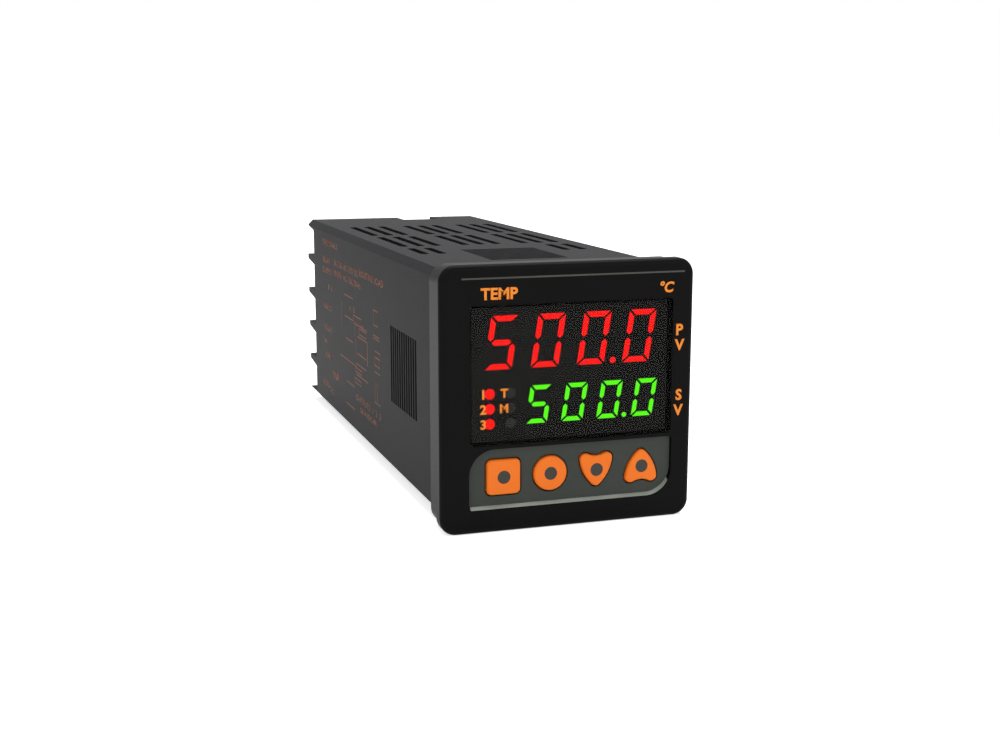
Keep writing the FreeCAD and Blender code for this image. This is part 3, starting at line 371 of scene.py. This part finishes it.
def box_mm(node: str) -> tuple[Vector, Vector]:
    """Returns the lowest and highest corner of a node's box, in millimetres."""
    low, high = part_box(node)
    return low / MM, high / MM


def solid_copy(node: str) -> bmesh.types.BMesh:
    """Returns a merged copy of a solid's mesh, in millimetres."""
    shape = bmesh.new()
    shape.from_mesh(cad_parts[node].data)
    bmesh.ops.remove_doubles(shape, verts=shape.verts, dist=SOLID_SEAM)
    bmesh.ops.scale(shape, vec=(1 / MM, 1 / MM, 1 / MM), verts=shape.verts)
    return shape


def add_copy(shape: bmesh.types.BMesh, name: str, finish: Finish, body: str) -> bpy.types.Object:
    """Turns a solid's copy, still in millimetres, into a piece."""
    bmesh.ops.scale(shape, vec=(MM, MM, MM), verts=shape.verts)
    bmesh.ops.recalc_face_normals(shape, faces=shape.faces)
    return add_piece(shape, name, finish, body)


# ---- Thin printed pieces ------------------------------------------------------
class Side(Enum):
    """A flat face of the object that carries print: its local right and up become these."""

    FRONT = Matrix(((1, 0, 0, 0), (0, 0, -1, 0), (0, 1, 0, 0), (0, 0, 0, 1)))
    LEFT = Matrix(((0, 0, -1, 0), (-1, 0, 0, 0), (0, 1, 0, 0), (0, 0, 0, 1)))


@dataclass
class PrintSheet:
    """Ink shapes on one face, gathered in one thin mesh.

    Shapes are drawn in millimetres, right and up on that face, then carried to it.
    """

    name: str
    side: Side
    level_mm: float
    finish: Finish
    body: str = "controller"
    film_mm: float = 0.02
    shapes: bmesh.types.BMesh = field(default_factory=bmesh.new)

    def bar(self, left: float, right: float, bottom: float, top: float) -> None:
        """Adds an upright rectangle between these edges."""
        move = Matrix.Translation(((left + right) / 2, (bottom + top) / 2, 0))
        size = Matrix.Diagonal(((right - left) / 2, (top - bottom) / 2, 1, 1))
        bmesh.ops.create_grid(self.shapes, x_segments=1, y_segments=1, size=1, matrix=move @ size)

    def frame(self, left: float, right: float, bottom: float, top: float, line: float) -> None:
        """Adds a rectangle drawn as four lines of one width."""
        self.bar(left, right, top - line, top)
        self.bar(left, right, bottom, bottom + line)
        self.bar(left, left + line, bottom + line, top - line)
        self.bar(right - line, right, bottom + line, top - line)

    def patch(self, corners: list[tuple[float, float]]) -> None:
        """Adds a straight-sided patch through a few corners."""
        points = [bmesh.ops.create_vert(self.shapes, co=(*corner, 0))["vert"][0] for corner in corners]
        bmesh.ops.contextual_create(self.shapes, geom=points)

    def disc(self, across: float, up: float, radius: float, segments: int = 48) -> None:
        """Adds a filled disc."""
        bmesh.ops.create_circle(self.shapes, cap_ends=True, radius=radius, segments=segments,
                                matrix=Matrix.Translation((across, up, 0)))

    def word(self, text: str, across: float, up: float, height: float, width: float = 0.0,
             boldness: float = 0.035, slant: float = 0.0) -> None:
        """Adds lettering centred on a point.

        Args:
            text: What it says.
            across: Centre to the right, in millimetres.
            up: Centre upwards, in millimetres.
            height: Height of the lettering, in millimetres.
            width: Length the lettering is set to, in millimetres, or zero for the letters' own.
            boldness: Growth of the strokes, as a share of the letter size.
            slant: Lean of the upright strokes, as a shear.
        """
        curve = bpy.data.curves.new(text, "FONT")
        curve.body = text
        curve.offset = boldness
        curve.resolution_u = LETTER_CURVE_STEPS
        curve.shear = slant
        holder = bpy.data.objects.new(text, curve)
        mesh = bpy.data.meshes.new_from_object(holder)
        points = [v.co for v in mesh.vertices]
        low = Vector((min(p.x for p in points), min(p.y for p in points), 0))
        high = Vector((max(p.x for p in points), max(p.y for p in points), 0))
        tall = height / (high.y - low.y)
        wide = width / (high.x - low.x) if width else tall
        centre = (low + high) / 2
        mesh.transform(Matrix.Translation((across, up, 0)) @ Matrix.Diagonal((wide, tall, 1, 1))
                       @ Matrix.Translation(-centre))
        self.shapes.from_mesh(mesh)
        bpy.data.objects.remove(holder)
        bpy.data.curves.remove(curve)
        bpy.data.meshes.remove(mesh)

    def build(self) -> bpy.types.Object:
        """Gives the shapes their thickness, carries them to the face and returns the piece."""
        shapes = self.shapes
        for face in shapes.faces:
            if face.normal.z < 0:
                face.normal_flip()
        bmesh.ops.remove_doubles(shapes, verts=shapes.verts, dist=PRINT_SEAM_MM)
        bmesh.ops.solidify(shapes, geom=shapes.faces[:], thickness=self.film_mm)
        bmesh.ops.recalc_face_normals(shapes, faces=shapes.faces)
        level = Matrix.Translation((0, 0, self.level_mm + self.film_mm / 2))
        bmesh.ops.transform(shapes, matrix=Matrix.Scale(MM, 4) @ self.side.value @ level,
                            verts=shapes.verts)
        return add_piece(shapes, self.name, self.finish, self.body)


@dataclass
class FrontLegends:
    """Marks on the front: lamp numbers and letters on the window, readout names beside it."""

    lamp_marks: tuple = (("1", -16.1, 1.2, 1.75), ("2", -16.1, -1.48, 1.75),
                         ("3", -16.1, -4.19, 1.75), ("T", -12.2, 1.25, 1.65), ("M", -12.25, -1.48, 1.65))
    readout_marks: tuple = (("P", 21.24, 11.0, 2.1), ("V", 21.27, 8.2, 2.1), ("S", 21.35, -1.05, 2.1),
                            ("V", 21.3, -3.9, 2.1))
    heading_height: float = 2.1
    heading: tuple[str, float, float] = ("TEMP", -13.2, 18.9)
    unit: tuple[str, float, float] = ("°C", 18.6, 18.9)
    unit_slant: float = 0.2
    # Left, right, bottom and top of the ledge's painted highlight line.
    line: tuple[float, float, float, float] = (-20.0, 22.0, 21.45, 21.75)

    def build(self) -> None:
        """Builds the marks on the window, those on the bezel, and the painted highlight line of the ledge
        above them.
        """
        window = PrintSheet("lamp_legends", Side.FRONT, front_level("display_window"), INK_ORANGE)
        for text, across, up, height in self.lamp_marks:
            window.word(text, across, up, height)
        window.build()
        bezel = PrintSheet("readout_legends", Side.FRONT, front_level("front_bezel"), INK_ORANGE)
        for text, across, up, height in self.readout_marks:
            bezel.word(text, across, up, height)
        text, across, up = self.heading
        bezel.word(text, across, up, self.heading_height)
        text, across, up = self.unit
        bezel.word(text, across, up, self.heading_height, slant=self.unit_slant)
        bezel.build()
        # The ledge above the marks is a painted highlight line, flat, not a relief.
        ledge = PrintSheet("upper_ledge_highlight_line", Side.FRONT, front_level("front_bezel"), LEDGE_HIGHLIGHT_GREY)
        ledge.bar(*self.line)
        ledge.build()


@dataclass
class SideDiagram:
    """Terminal diagram on the left wall: rows of small lettering, wires and boxes.

    Every length along the wall is given as distances from the panel plane, rear end first.
    """

    line: float = 0.26
    boldness: float = 0.02
    rows: tuple = (
        ("TERMINALS", 101.9, 84.2, 18.7, 1.3), ("RELAY", 101.4, 92.4, 14.4, 1.5),
        ("3A 250V AC / 30V DC", 88.4, 62.2, 14.8, 1.5), ("RESISTIVE LOAD", 61.4, 39.2, 15.2, 1.5),
        ("SUPPLY", 101.8, 90.7, 11.9, 1.5), ("90-270V AC / DC 50 Hz", 88.7, 59.9, 12.4, 1.5),
        ("11", 95.6, 91.1, 8.1, 1.3), ("INPUT", 101.3, 91.7, 3.0, 1.4), ("RELAY", 100.9, 91.8, -2.2, 1.4),
        ("1A", 102.3, 97.3, -5.5, 1.3), ("ALARM", 100.6, 92.7, -8.7, 1.6), ("mA", 91.8, 84.5, -12.2, 2.6),
        ("RTD", 103.7, 96.5, -16.4, 1.4), ("TC", 96.6, 91.6, -17.1, 1.4), ("4  5", 72.3, 66.4, 6.2, 1.1),
        ("OUTPUTS  1  2  3", 66.5, 43.0, -13.2, 1.4), ("SENSOR", 62.5, 46.6, -15.4, 1.2),
    )
    wires: tuple = (
        (77.5, 68.2, 8.6), (77.1, 58.3, 3.7), (67.5, 54.7, 3.3), (64.3, 54.6, 0.8), (76.7, 68.8, -1.35),
        (64.7, 55.3, -3.05), (82.7, 65.8, -6.25), (65.8, 55.9, -5.5), (66.0, 54.5, -7.95),
        (75.9, 68.0, -11.35), (77.4, 68.1, -16.6), (47.7, 42.8, 0.25), (48.0, 43.2, -4.2),
        (48.5, 43.3, -10.85), (48.9, 43.4, 2.9), (48.9, 43.4, 3.5),
    )
    uprights: tuple = (
        (80.6, 0.7, 6.6), (54.8, -4.3, 1.0), (54.5, -4.3, 1.0), (66.8, 0.4, 2.7), (66.0, -3.8, 0.3),
        (46.0, -10.9, -6.4), (48.0, -10.9, -6.4),
    )
    boxes: tuple = (
        (68.2, 59.9, 3.6, 5.2), (62.6, 55.3, 1.4, 2.9), (66.7, 60.1, -7.5, -6.4), (67.8, 61.1, -10.1, -8.9),
        (48.5, 44.3, 5.6, 9.0), (47.8, 43.1, -2.9, -0.9),
    )

    def build(self) -> None:
        """Builds all of the wall's print as one piece."""
        wall_mm = -box_mm("housing_sleeve")[0].x
        sheet = PrintSheet("side_diagram", Side.LEFT, wall_mm, INK_BROWN)
        for text, rear, fore, up, height in self.rows:
            sheet.word(text, -(rear + fore) / 2, up, height, width=rear - fore,
                       boldness=self.boldness)
        for rear, fore, up in self.wires:
            sheet.bar(-rear, -fore, up - self.line / 2, up + self.line / 2)
        for place, low, high in self.uprights:
            sheet.bar(-place - self.line / 2, self.line / 2 - place, low, high)
        for rear, fore, low, high in self.boxes:
            sheet.frame(-rear, -fore, low, high, self.line)
        sheet.build()


@dataclass
class KeypadEdgeHighlight:
    """Painted highlight along the foot of the keypad sheet and round its large lower corner: a light grey
    strip.
    """

    left_inset: float = 0.2
    slope: float = 0.5
    corner_radius: float = 4.8
    corner_turn: float = 62.0
    corner_steps: int = 14
    film_mm: float = 0.03

    def rail(self, shapes: bmesh.types.BMesh, left: float, right: float, bottom: float,
             level: float) -> list[bmesh.types.BMEdge]:
        """Draws one edge of the strip and returns its edges.

        Args:
            shapes: Mesh that the strip grows in.
            left: Where it starts.
            right: Right side of the keypad, in millimetres.
            bottom: Height of its straight run.
            level: Place along Y.
        """
        before = set(shapes.edges)
        start = bmesh.ops.create_vert(shapes, co=(left, level, bottom))["vert"][0]
        run = bmesh.ops.extrude_vert_indiv(shapes, verts=[start])["verts"]
        bmesh.ops.translate(shapes, verts=run, vec=(right - self.corner_radius - left, 0, 0))
        centre = (right - self.corner_radius, level, bottom + self.corner_radius)
        bmesh.ops.spin(shapes, geom=run, cent=centre, axis=(0, -1, 0),
                       angle=math.radians(self.corner_turn), steps=self.corner_steps)
        bmesh.ops.remove_doubles(shapes, verts=shapes.verts, dist=STRIP_SEAM_MM)
        return [edge for edge in shapes.edges if edge not in before]

    def build(self) -> None:
        """Builds the painted highlight strip on the slope at the foot of the keypad's recess."""
        low, high = box_mm("keypad_plate")
        front = box_mm("front_bezel")[0].y
        shapes = bmesh.new()
        mouth = self.rail(shapes, low.x + self.left_inset, high.x, low.z - self.slope, front)
        foot = self.rail(shapes, low.x + self.left_inset, high.x, low.z, low.y - Keypad.sheet_thickness)
        bmesh.ops.bridge_loops(shapes, edges=mouth + foot)
        bmesh.ops.recalc_face_normals(shapes, faces=shapes.faces)
        bmesh.ops.solidify(shapes, geom=shapes.faces[:], thickness=self.film_mm)
        bmesh.ops.recalc_face_normals(shapes, faces=shapes.faces)
        bmesh.ops.scale(shapes, vec=(MM, MM, MM), verts=shapes.verts)
        add_piece(shapes, "keypad_lower_edge_highlight", KEYPAD_EDGE_HIGHLIGHT)


# ---- Readouts and lamps -------------------------------------------------------
class Bar(Enum):
    """The seven bars of a lit digit: a pattern, then how it is mirrored across and up."""

    TOP = ("cap", 1, 1)
    BOTTOM = ("cap", 1, -1)
    UPPER_RIGHT = ("wing", 1, 1)
    LOWER_RIGHT = ("wing", 1, -1)
    UPPER_LEFT = ("wing", -1, 1)
    LOWER_LEFT = ("wing", -1, -1)
    MIDDLE = ("waist", 1, 1)


DIGIT_BARS = {
    "5": (Bar.TOP, Bar.UPPER_LEFT, Bar.MIDDLE, Bar.LOWER_RIGHT, Bar.BOTTOM),
    "0": (Bar.TOP, Bar.UPPER_RIGHT, Bar.LOWER_RIGHT, Bar.BOTTOM, Bar.LOWER_LEFT, Bar.UPPER_LEFT),
}


@dataclass
class Readout:
    """A lit four-digit readout: leaning mitred bars and a point, on its module's dark mask.

    Lengths are in millimetres, the slant is a shear, and the point's radius is a share of the
    stroke.
    """

    name: str
    module: str
    replaced: str
    finish: Finish
    centre: tuple[float, float]
    pitch: float
    width: float
    height: float
    stroke: float
    text: str = "5000"
    slant: float = 0.155
    gap: float = 0.3
    rise: float = 0.13
    point_share: float = 0.55

    def pattern(self, kind: str) -> list[tuple[float, float]]:
        """Returns the corners of one kind of bar, upright, about the digit's centre."""
        side, top, stroke, gap = self.width / 2, self.height / 2, self.stroke, self.gap
        inner = side - stroke
        if kind == "cap":
            return [(gap - side, top), (side - gap, top), (inner - gap, top - stroke),
                    (gap - inner, top - stroke)]
        if kind == "wing":
            return [(side, top - gap), (side, stroke / 2 + gap), (side - stroke / 2, gap),
                    (inner, stroke / 2 + gap), (inner, top - stroke - gap)]
        tip = side - stroke / 2 - gap
        shoulder = inner - gap
        return [(-tip, 0), (-shoulder, stroke / 2), (shoulder, stroke / 2), (tip, 0),
                (shoulder, -stroke / 2), (-shoulder, -stroke / 2)]

    def build(self) -> None:
        """Builds the bars, which stand for the solid segments of the frame."""
        level = front_level(self.module) + MASK_MM
        sheet = PrintSheet(self.name, Side.FRONT, level, self.finish, film_mm=self.rise)
        middle = (len(self.text) - 1) / 2
        for place, character in enumerate(self.text):
            across = self.centre[0] + (place - middle) * self.pitch
            for bar in DIGIT_BARS[character]:
                kind, flip_across, flip_up = bar.value
                corners = [(x * flip_across, y * flip_up) for x, y in self.pattern(kind)]
                sheet.patch([(across + x + y * self.slant, self.centre[1] + y) for x, y in corners])
        drop = self.height / 2
        radius = self.stroke * self.point_share
        sheet.disc(self.centre[0] + self.pitch - self.slant * drop, self.centre[1] - drop + radius, radius)
        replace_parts(sheet.build(), self.replaced)


@dataclass
class ReadoutMask:
    """Matt black film over the fronts of the readouts and lamps, as large as the window, with a painted
    faint grey glow.
    """

    window: str = "display_window"
    carrier: str = "upper_readout"

    def build(self) -> None:
        """Builds the film to the size of what it covers."""
        sheet = PrintSheet("readout_mask", Side.FRONT, front_level(self.carrier), READOUT_BLACK_PAINTED_GLOW,
                           film_mm=MASK_MM)
        low, high = box_mm(self.window)
        sheet.bar(low.x, high.x, low.z, high.z)
        sheet.build()


@dataclass
class LampColumn:
    """Three round lamps one above another, behind the window."""

    name: str
    replaced: tuple[str, ...]
    finish: Finish
    across: float
    top: float = 0.95
    pitch: float = 2.71
    radius: float = 0.95
    rise: float = 0.1

    def build(self) -> None:
        """Builds the lamps, which stand for the solid ones of the frame."""
        level = front_level("lamp_shroud") + MASK_MM
        sheet = PrintSheet(self.name, Side.FRONT, level, self.finish, film_mm=self.rise)
        for row in range(len(self.replaced)):
            sheet.disc(self.across, self.top - row * self.pitch, self.radius)
        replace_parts(sheet.build(), *self.replaced)


READOUTS = (
    Readout("upper_digits", "upper_readout", "upper_segments", LIT_RED, centre=(0.8, 10.05), pitch=8.74,
            width=5.17, height=9.55, stroke=1.0),
    Readout("lower_digits", "lower_readout", "lower_segments", LIT_GREEN, centre=(4.9, -1.38), pitch=6.8,
            width=4.07, height=6.87, stroke=0.78),
)
LAMP_COLUMNS = (
    LampColumn("lit_lamps", ("lamp_lit_1", "lamp_lit_2", "lamp_lit_3"), LIT_RED, across=-14.5),
    LampColumn("unlit_lamps", ("lamp_unlit_1", "lamp_unlit_2", "lamp_unlit_3"), LAMP_DARK,
               across=-10.6),
)


# ---- Keypad -------------------------------------------------------------------
@dataclass
class Keypad:
    """Orange key caps with dark centres, and the printed sheet that they pass through.

    Lengths are in millimetres, and the heights are given key by key, from left to right.
    """

    width: float = 6.3
    heights: tuple = (("square", 6.4), ("round", 6.35), ("down", 6.1), ("up", 6.1))
    first_across: float = -12.25
    pitch: float = 8.85
    up: float = -13.95
    sunk: float = 0.12
    mark_radius: float = 1.2
    sheet_thickness: float = 0.35
    hole_margin: float = 0.4
    flange_slack: float = 1e-3

    def fit(self, place: int) -> tuple[Vector, Vector, Matrix]:
        """Finds how a solid key becomes its cap.

        Args:
            place: Which key, counted from the left.

        Returns:
            The lowest and highest corner round the key's hole, and the change of size and place.
        """
        name, height = self.heights[place]
        low, high = box_mm(f"key_{name}")
        plate_back = box_mm("keypad_plate")[1].y
        shape = solid_copy(f"key_{name}")
        cap = [v.co for v in shape.verts if v.co.y < plate_back - self.flange_slack]
        wide, tall = (max(co[axis] for co in cap) - min(co[axis] for co in cap) for axis in (0, 2))
        shape.free()
        front = Vector(((low.x + high.x) / 2, low.y, (low.z + high.z) / 2))
        centre = Vector((self.first_across + place * self.pitch,
                         self.sunk - front_level("front_bezel"), self.up))
        size = Matrix.Diagonal((self.width / wide, 1, height / tall, 1))
        half = Vector((wide / 2 + self.hole_margin, 0, tall / 2 + self.hole_margin))
        return front - half, front + half, Matrix.Translation(centre) @ size @ Matrix.Translation(-front)

    def sheet(self) -> None:
        """Builds the sheet from the plate, pressed thin, its holes moved to the caps."""
        low, high = box_mm("keypad_plate")
        shape = solid_copy("keypad_plate")
        thin = self.sheet_thickness / (high.y - low.y)
        bmesh.ops.scale(shape, vec=(1, thin, 1), verts=shape.verts,
                        space=Matrix.Translation((0, -low.y, 0)))
        bmesh.ops.translate(shape, vec=(0, -self.sheet_thickness, 0), verts=shape.verts)
        for place in range(len(self.heights)):
            start, end, change = self.fit(place)
            hole = [v for v in shape.verts if start.x < v.co.x < end.x and start.z < v.co.z < end.z]
            level = Matrix.Translation((0, -change.translation.y, 0))
            bmesh.ops.transform(shape, matrix=level @ change, verts=hole)
        add_copy(shape, "keypad_overlay", KEYPAD_GREY, "controller")

    def build(self) -> None:
        """Builds the sheet, the four caps and their marks."""
        self.sheet()
        face = front_level("front_bezel") - self.sunk
        for place, (name, _) in enumerate(self.heights):
            shape = solid_copy(f"key_{name}")
            bmesh.ops.transform(shape, matrix=self.fit(place)[2], verts=shape.verts)
            cap = add_copy(shape, f"key_cap_{name}", KEY_ORANGE, f"{name}_key")
            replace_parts(cap, f"key_{name}")
            mark = PrintSheet(f"key_mark_{name}", Side.FRONT, face, INK_GREY, body=f"{name}_key")
            mark.disc(self.first_across + place * self.pitch, self.up, self.mark_radius)
            mark.build()


# ---- Studio -------------------------------------------------------------------
@dataclass
class Studio:
    """A plain pale floor, soft lamps and a white surround."""

    floor_size: float = 6.0
    floor_colour: str = "#f4f4f4"
    floor_lift: float = 0.66
    fibre_mm: float = 3.0
    floor_roughness: tuple[float, float] = (0.8, 0.95)
    surround_light: float = 0.42
    lamps: tuple = (
        ("left_softbox", (-0.55, -0.55, 0.60), 0.45, 1.8),
        ("top_softbox", (0.10, 0.10, 0.80), 0.60, 7.0),
        ("front_softbox", (0.35, -0.80, 0.35), 0.50, 1.6),
    )
    aim: tuple[float, float, float] = (0.0, 0.03, 0.0)

    def seen_share(self, tree: bpy.types.NodeTree) -> bpy.types.NodeSocket:
        """Returns one for rays from the camera, reflections and clear plastic, otherwise zero."""
        path = add_node(tree, "ShaderNodeLightPath")
        seen = path.outputs["Is Camera Ray"]
        for kind in ("Is Glossy Ray", "Is Transmission Ray"):
            seen = add_node(tree, "ShaderNodeMath", {0: seen, 1: path.outputs[kind]},
                            operation="MAXIMUM").outputs[0]
        return seen

    def build(self) -> None:
        """Builds the floor, the surround and the lamps."""
        mesh = bpy.data.meshes.new("floor")
        shape = bmesh.new()
        level = CAD_BOX[0].z
        bmesh.ops.create_grid(shape, x_segments=1, y_segments=1, size=self.floor_size / 2,
                              matrix=Matrix.Translation((0, 0, level)))
        shape.to_mesh(mesh)
        shape.free()
        floor = bpy.data.objects.new("floor", mesh)
        bpy.context.scene.collection.objects.link(floor)
        mesh.materials.append(self.floor_finish())
        world = bpy.data.worlds.new("surround")
        world.use_nodes = True
        tree = world.node_tree
        tree.nodes.clear()
        strength = add_node(tree, "ShaderNodeMapRange", {
            "Value": self.seen_share(tree), "To Min": self.surround_light, "To Max": 1.0}).outputs[0]
        light = add_node(tree, "ShaderNodeBackground", {"Color": (1, 1, 1, 1), "Strength": strength})
        add_node(tree, "ShaderNodeOutputWorld", {"Surface": light.outputs[0]})
        bpy.context.scene.world = world
        for name, place, size, power in self.lamps:
            self.lamp(name, Vector(place), size, power)

    def floor_finish(self) -> bpy.types.Material:
        """White painted board, lifted to the surround's white where the camera sees it."""
        made = bpy.data.materials.new("board_white_painted_floor")
        made.use_nodes = True
        tree = made.node_tree
        tree.nodes.clear()
        place = add_node(tree, "ShaderNodeTexCoord").outputs["Object"]
        fibre = add_node(tree, "ShaderNodeTexNoise", {
            "Vector": place, "Scale": 1 / (self.fibre_mm * MM)}).outputs[0]
        lift = add_node(tree, "ShaderNodeMapRange", {
            "Value": self.seen_share(tree), "To Max": self.floor_lift}).outputs[0]
        shader = add_node(tree, "ShaderNodeBsdfPrincipled", {
            "Base Color": linear(self.floor_colour), "Specular IOR Level": 0.0,
            "Emission Color": (1, 1, 1, 1), "Emission Strength": lift,
            "Roughness": add_node(tree, "ShaderNodeMapRange", {
                "Value": fibre, "To Min": self.floor_roughness[0],
                "To Max": self.floor_roughness[1]}).outputs[0]})
        add_node(tree, "ShaderNodeOutputMaterial", {"Surface": shader.outputs[0]})
        return made

    def lamp(self, name: str, place: Vector, size: float, power: float) -> None:
        """Adds one square soft lamp that looks at the object."""
        light = bpy.data.lights.new(name, "AREA")
        light.size = size
        light.energy = power
        holder = bpy.data.objects.new(name, light)
        holder.location = place
        holder.rotation_euler = (Vector(self.aim) - place).to_track_quat("-Z", "Y").to_euler()
        bpy.context.scene.collection.objects.link(holder)


@dataclass
class Viewpoint:
    """The camera: where it stands, how it is turned, in degrees, and the depths it sees, in metres."""

    place_mm: tuple[float, float, float] = (-88.535, -236.196, 50.135)
    right_turn: float = 18.300
    down_tilt: float = 10.731
    roll: float = 0.075
    lens: float = 50.43
    sensor: float = 36.0
    nearest: float = 0.01
    farthest: float = 50.0

    def build(self) -> None:
        """Makes the camera and puts it in charge of the scene."""
        data = bpy.data.cameras.new("camera")
        data.lens = self.lens
        data.sensor_width = self.sensor
        data.clip_start = self.nearest
        data.clip_end = self.farthest
        camera = bpy.data.objects.new("camera", data)
        camera.location = Vector(self.place_mm) * MM
        turn = Matrix.Rotation(-math.radians(self.right_turn), 4, "Z")
        tilt = Matrix.Rotation(math.radians(90 - self.down_tilt), 4, "X")
        lean = Matrix.Rotation(math.radians(self.roll), 4, "Z")
        camera.rotation_euler = (turn @ tilt @ lean).to_euler()
        bpy.context.scene.collection.objects.link(camera)
        bpy.context.scene.camera = camera


def main() -> None:
    """Dresses the frame, adds the scene's own pieces and sets up the studio."""
    logging.basicConfig(level=logging.INFO, format="%(name)s: %(message)s")
    CadDressing().dress()
    for part in (FrontLegends(), SideDiagram(), KeypadEdgeHighlight(), ReadoutMask(), *READOUTS, *LAMP_COLUMNS,
                 Keypad(), Studio(), Viewpoint()):
        part.build()
    bpy.context.scene.view_settings.view_transform = "Standard"


if __name__ == "__main__":
    main()
